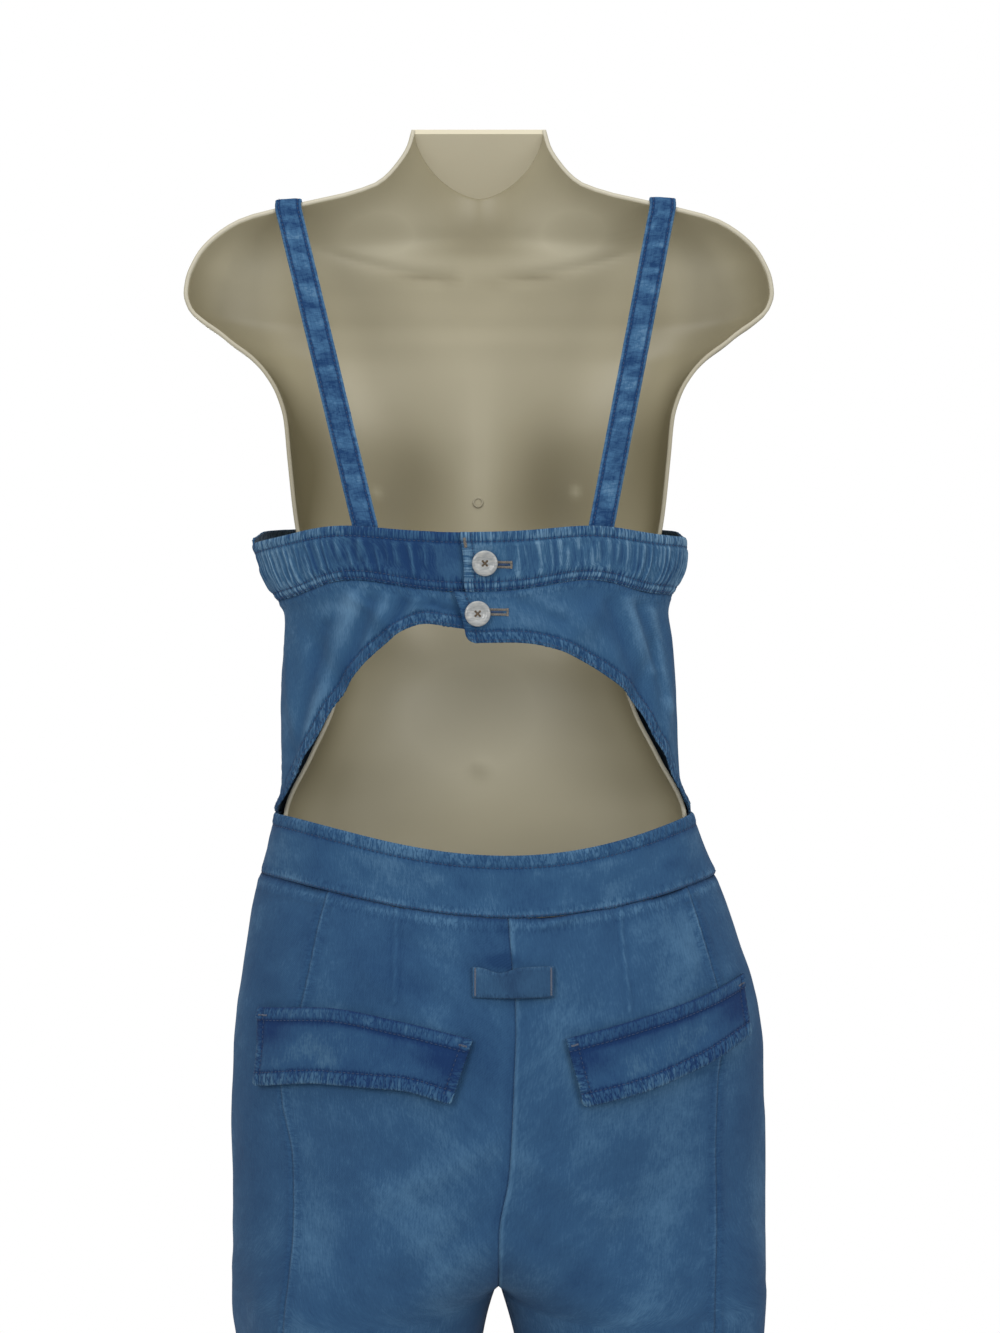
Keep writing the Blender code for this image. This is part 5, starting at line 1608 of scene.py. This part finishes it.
def seat_point(side, x, height, off):
    """A point at this x and height on the back of a leg, moved out from the cloth."""

    def surface(angle, level):
        return leg_point(side, angle, level)

    angle = leg_angle_at(side, x, height)
    outwards = -side * normals_of(surface, angle, height)
    return surface(angle, height) + outwards * off[..., None]


FLAP_HEMS = [
    Hem("top", FLAP_HEM, 0.0042, 0.35, 0.0004, 0.20),
    Hem("foot", FLAP_HEM, 0.0044, -0.12, 0.00070, 0.31),
    *(Hem(edge, 0.0062, 0.0046, 0.3, 0.0004, 0.24) for edge in ("left", "right")),
]
# The two dark lines along the top are painted shadow, at the flap's upper edge and under its top
# hem; the light lines at the foot and the ends are wear.
FLAP_LINES = rows_of(
    Line,
    ("top", FLAP_HEM + 0.0012, 0.0022, 0, -0.6), ("top", 0, 0.001, 0, -0.8),
    ("foot", 0, 0.0012, 0, 0.45), ("ends", 0, 0.001, 0, 0.6),
)


def flap_work(seed):
    def work(lay):
        rise, worn, seams = sewn(lay, FLAP_HEMS, FLAP_LINES, seed)
        rise += 0.0010 * rumple(lay.left, lay.foot, 0.024, seed + 30)
        rise += 0.0005 * rumple(lay.left * 0.5, lay.foot, 0.0090, seed + 32)
        rise += 0.0010 * smoothstep(0.0095, 0.0080, lay.top)
        worn += 0.24 * rumple(lay.left * 0.6, lay.foot, 0.012, seed + 31)
        corner = bump_at(lay.ends, lay.top, 0.0, 0.016, 0.030, 0.009)
        middle = groove(lay.foot, 0.019, 0.010) * smoothstep(0.01, 0.05, lay.ends)
        worn += 0.22 * middle - 0.85 * corner - 0.16
        return rise, worn, seams

    return work


def make_flaps():
    for name, (side, sections) in FLAPS.items():

        def surface(u, v, side=side, sections=sections):
            top_x, top_z = read(sections, "top_x", u), read(sections, "top_z", u)
            foot_x, foot_z = read(sections, "foot_x", u), read(sections, "foot_z", u)
            x, z = foot_x + v * (top_x - foot_x), foot_z + v * (top_z - foot_z)
            return seat_point(side, x, z, FLAP_OFF + FLAP_STANDS_OFF * (1 - v) ** 2)

        cloth(
            name, surface, 176, 52, flap_work(261 if side > 0 else 281), DOUBLE_DENIM, FLAP_DENIM,
            [(end, "foot", 0.0022) for end in ("left", "right")],
        )
        ends = [(edge, 0.0064, 0.12, 0.88) for edge in ("left", "right")]
        topstitch(name, "double_denim", ("top", FLAP_HEM), ("foot", FLAP_HEM), *ends)
        lay = LAYS[name]
        line = seam_line(lay, "top", 0.0052)[0][:, ::2]
        last = len(line) - 1
        bars = [satin(lay, line[a], line[b], 0.0014) for a, b in ((3, 9), (last - 9, last - 3))]
        sew(f"{name}_bars", FADED_THREAD, bars)


make_flaps()

# The hanging loop: a short strip of doubled denim across the seat seam, fixed at both ends with
# bar tacks. It bulges a little, so its upper edge stands off the seat.

LOOP_LEFT_X = 0.003
LOOP_RIGHT_X = -0.049
LOOP_TOP = 1.0155
LOOP_HEIGHT = 0.0195
LOOP_BULGE = 0.0024
LOOP_OFF = 0.0027
LOOP_DIP = 0.0036
LOOP_DIPS_AT = 0.33
LOOP_DIP_WIDE = 0.17
LOOP_BAR_IN = 0.0012
LOOP_BAR_OUT = 0.0016
LOOP_DENIM = denim("loop_denim", "#1D3655", "#2D4D6C", "#4C6D88")


def loop_surface(u, v):
    x = LOOP_LEFT_X + u * (LOOP_RIGHT_X - LOOP_LEFT_X)
    high = LOOP_TOP - LOOP_DIP * groove(u, LOOP_DIPS_AT, LOOP_DIP_WIDE)
    height = high - (1 - v) * (high - LOOP_TOP + LOOP_HEIGHT)
    off = LOOP_OFF + LOOP_BULGE * np.sin(math.pi * np.clip(u, 0, 1)) ** 2
    centre = body("shift", height)
    behind = body("back", height)
    across = (x - centre) / body("half_width", height)
    return stacked(x, behind * np.sqrt(1 - across**2) + off, height)


LOOP_HEMS = [Hem(edge, 0.0024, 0.0050, 0.3, 0.0001, 0.14, ()) for edge in ("top", "foot")]
LOOP_LINES = rows_of(
    Line,
    ("ends", 0.0015, 0.0012, -0.0005, 0), ("top", 0, 0.0009, 0, 0.4),
    ("left", 0.026, 0.006, 0, -0.4),
)


def loop_work(lay):
    rise, worn, seams = sewn(lay, LOOP_HEMS, LOOP_LINES, 303)
    rise += 0.0003 * rumple(lay.left, lay.foot, 0.010, 301)
    worn += 0.14 * rumple(lay.left, lay.foot, 0.008, 302) - 0.06
    return rise, worn, seams


def make_loop():
    cloth(
        "hanging_loop", loop_surface, 60, 22, loop_work, DENIM, LOOP_DENIM,
    )
    high, low = LOOP_TOP - LOOP_BAR_IN, LOOP_TOP - LOOP_HEIGHT + LOOP_BAR_IN
    bars = [
        satin(LAYS["hanging_loop"], (x, high), (x, low), 0.0014)
        for x in (LOOP_LEFT_X - LOOP_BAR_OUT, LOOP_RIGHT_X + LOOP_BAR_OUT)
    ]
    sew("hanging_loop_bars", FADED_THREAD, bars)


make_loop()

# The buttons: turned from river shell, 17 mm across, with a raised rim and a shallow dish, and
# sewn on crosswise through four holes with brown thread.

BUTTONS = [("button_top", -3.6, 1.2758), ("button_bottom", -0.6, 1.2424)]
BUTTON_OFF = 0.0008
BUTTON_PROFILE_MM = [
    (0.0, 1.85), (2.9, 1.85), (3.9, 1.95), (4.8, 2.25), (5.5, 2.70), (6.2, 2.96), (7.2, 3.0),
    (8.0, 2.72), (8.42, 2.2), (8.5, 1.6), (8.2, 0.9), (7.2, 0.35), (4.0, 0.1), (0.0, 0.1),
]
HOLE_CORNERS = ((1, 1), (-1, 1), (-1, -1), (1, -1))
HOLE_APART = 0.00145
HOLE_WIDE = 0.0023
HOLE_LEVEL = 0.00165
STRAND_WIDE = 0.0005
STRAND_APART = 0.00028
STRAND_LONG = 3.1 * HOLE_APART
STRAND_LEVEL = 0.0021


def shell_button():
    """Polished river shell: pearly grey-white bands about 1 mm wide, with a soft clear gloss."""
    made, tree = new_finish("river_shell")
    bands = noise(tree, object_place(tree, (250.0, 250.0, 900.0)), 1.0, 3.0)
    tones = [(0.3, "#85888A"), (0.55, "#989A99"), (0.75, "#A9A8A2")]
    looks = {"Roughness": 0.26, "Coat Weight": 0.25, "Coat Roughness": 0.12}
    return dressed(made, bands, tones, None, looks)


SHELL = shell_button()
BROWN_THREAD = thread("brown_thread", "#2E241A", "#6B5A45")


def make_buttons():
    for name, degrees, height in BUTTONS:
        angle = math.radians(degrees)
        seat = Vector(ring_point(angle, height))
        flare = (ring_point(angle, height + 0.01) - ring_point(angle, height - 0.01))[1] / 0.02
        axis = Vector((math.sin(angle) * 0.5, math.cos(angle), -flare)).normalized()
        turn = axis.to_track_quat("Z", "Y").to_matrix()
        place = Matrix.Translation(seat + axis * BUTTON_OFF) @ turn.to_4x4()
        profile = [(radius / 1000, level / 1000) for radius, level in BUTTON_PROFILE_MM]
        disc = new_object(f"{name}_disc", turned(f"{name}_disc", profile, 56, place), SHELL)
        fit(disc, name)
        corners = [Vector((x * HOLE_APART, y * HOLE_APART, HOLE_LEVEL)) for x, y in HOLE_CORNERS]
        spots = np.array([place @ corner for corner in corners])
        right, up = (np.array(turn @ Vector(way)) for way in ((1, 0, 0), (0, 0, 1)))
        holes = Stitches(spots, [up] * 4, [right] * 4, 0.0006, HOLE_WIDE)
        spots, ways = [], []
        for x, y in ((1, 1), (1, -1)):
            for off in (-STRAND_APART, 0.0, STRAND_APART):
                spots.append(place @ Vector((-y * off, x * off, STRAND_LEVEL)))
                ways.append(turn @ Vector((x, y, 0)).normalized())
        strands = Stitches(np.array(spots), np.array(ways), [up] * 6, STRAND_LONG, STRAND_WIDE)
        sew(f"{name}_thread", BROWN_THREAD, [strands, holes])


make_buttons()

# The studio: soft daylight from all round, a large window light from the camera's left, and a
# pale floor. The camera stands level behind the wearer, as for the photograph.

CAMERA_PLACE = (-0.0145, 1.30, 1.208)
FOCAL_PIXELS = 1884.0
PHOTO_HEIGHT = 1333.0
SENSOR_MM = 36.0


def make_studio():
    camera = bpy.data.objects.new("camera", bpy.data.cameras.new("camera"))
    camera.location = CAMERA_PLACE
    camera.rotation_euler = (math.pi / 2, 0.0, math.pi)
    camera.data.sensor_fit = "VERTICAL"
    camera.data.sensor_height = SENSOR_MM
    camera.data.lens = SENSOR_MM * FOCAL_PIXELS / PHOTO_HEIGHT
    camera.data.clip_start = 0.05
    bpy.context.scene.collection.objects.link(camera)
    bpy.context.scene.camera = camera
    lights = [
        ("key", (1.5, 2.3, 2.3), 1.2, 29.0), ("fill", (-1.7, 2.2, 1.9), 1.4, 25.0),
        ("top", (0.0, 0.6, 3.1), 1.2, 15.0), ("front", (0.4, -2.6, 1.9), 1.8, 40.0),
    ]
    for name, place, size, power in lights:
        light = bpy.data.lights.new(name, "AREA")
        light.size = size
        light.energy = power
        made = bpy.data.objects.new(name, light)
        made.location = place
        aim = Vector((0.0, 0.0, 1.1)) - Vector(place)
        made.rotation_mode = "QUATERNION"
        made.rotation_quaternion = aim.to_track_quat("-Z", "Y")
        bpy.context.scene.collection.objects.link(made)
    world = bpy.data.worlds.new("studio")
    world.use_nodes = True
    tree = world.node_tree
    seen = add(tree, "LightPath").outputs["Is Camera Ray"]
    strength = add(tree, "Math", {0: seen, 1: 0.48, 2: 0.52}, operation="MULTIPLY_ADD")
    tree.nodes["Background"].inputs[0].default_value = (1.0, 1.0, 1.0, 1.0)
    tree.links.new(strength.outputs[0], tree.nodes["Background"].inputs[1])
    bpy.context.scene.world = world
    bpy.context.scene.view_settings.view_transform = "Standard"
    # The floor is a painted board, with faint clouds some 27 cm wide
    bm = bmesh.new()
    bmesh.ops.create_circle(bm, cap_ends=True, segments=96, radius=1.9)
    made, tree = new_finish("pale_floor")
    grain = add(tree, "TexNoise", {"Scale": 14.0, "Detail": 2.0}).outputs[0]
    dressed(made, grain, [(0.3, "#E9E8E5"), (0.7, "#EEEDEA")], None, {"Roughness": 0.8})
    floor = new_object("floor", mesh_of("floor", bm), made)
    floor.location = (0, 0, -0.0005)


make_studio()
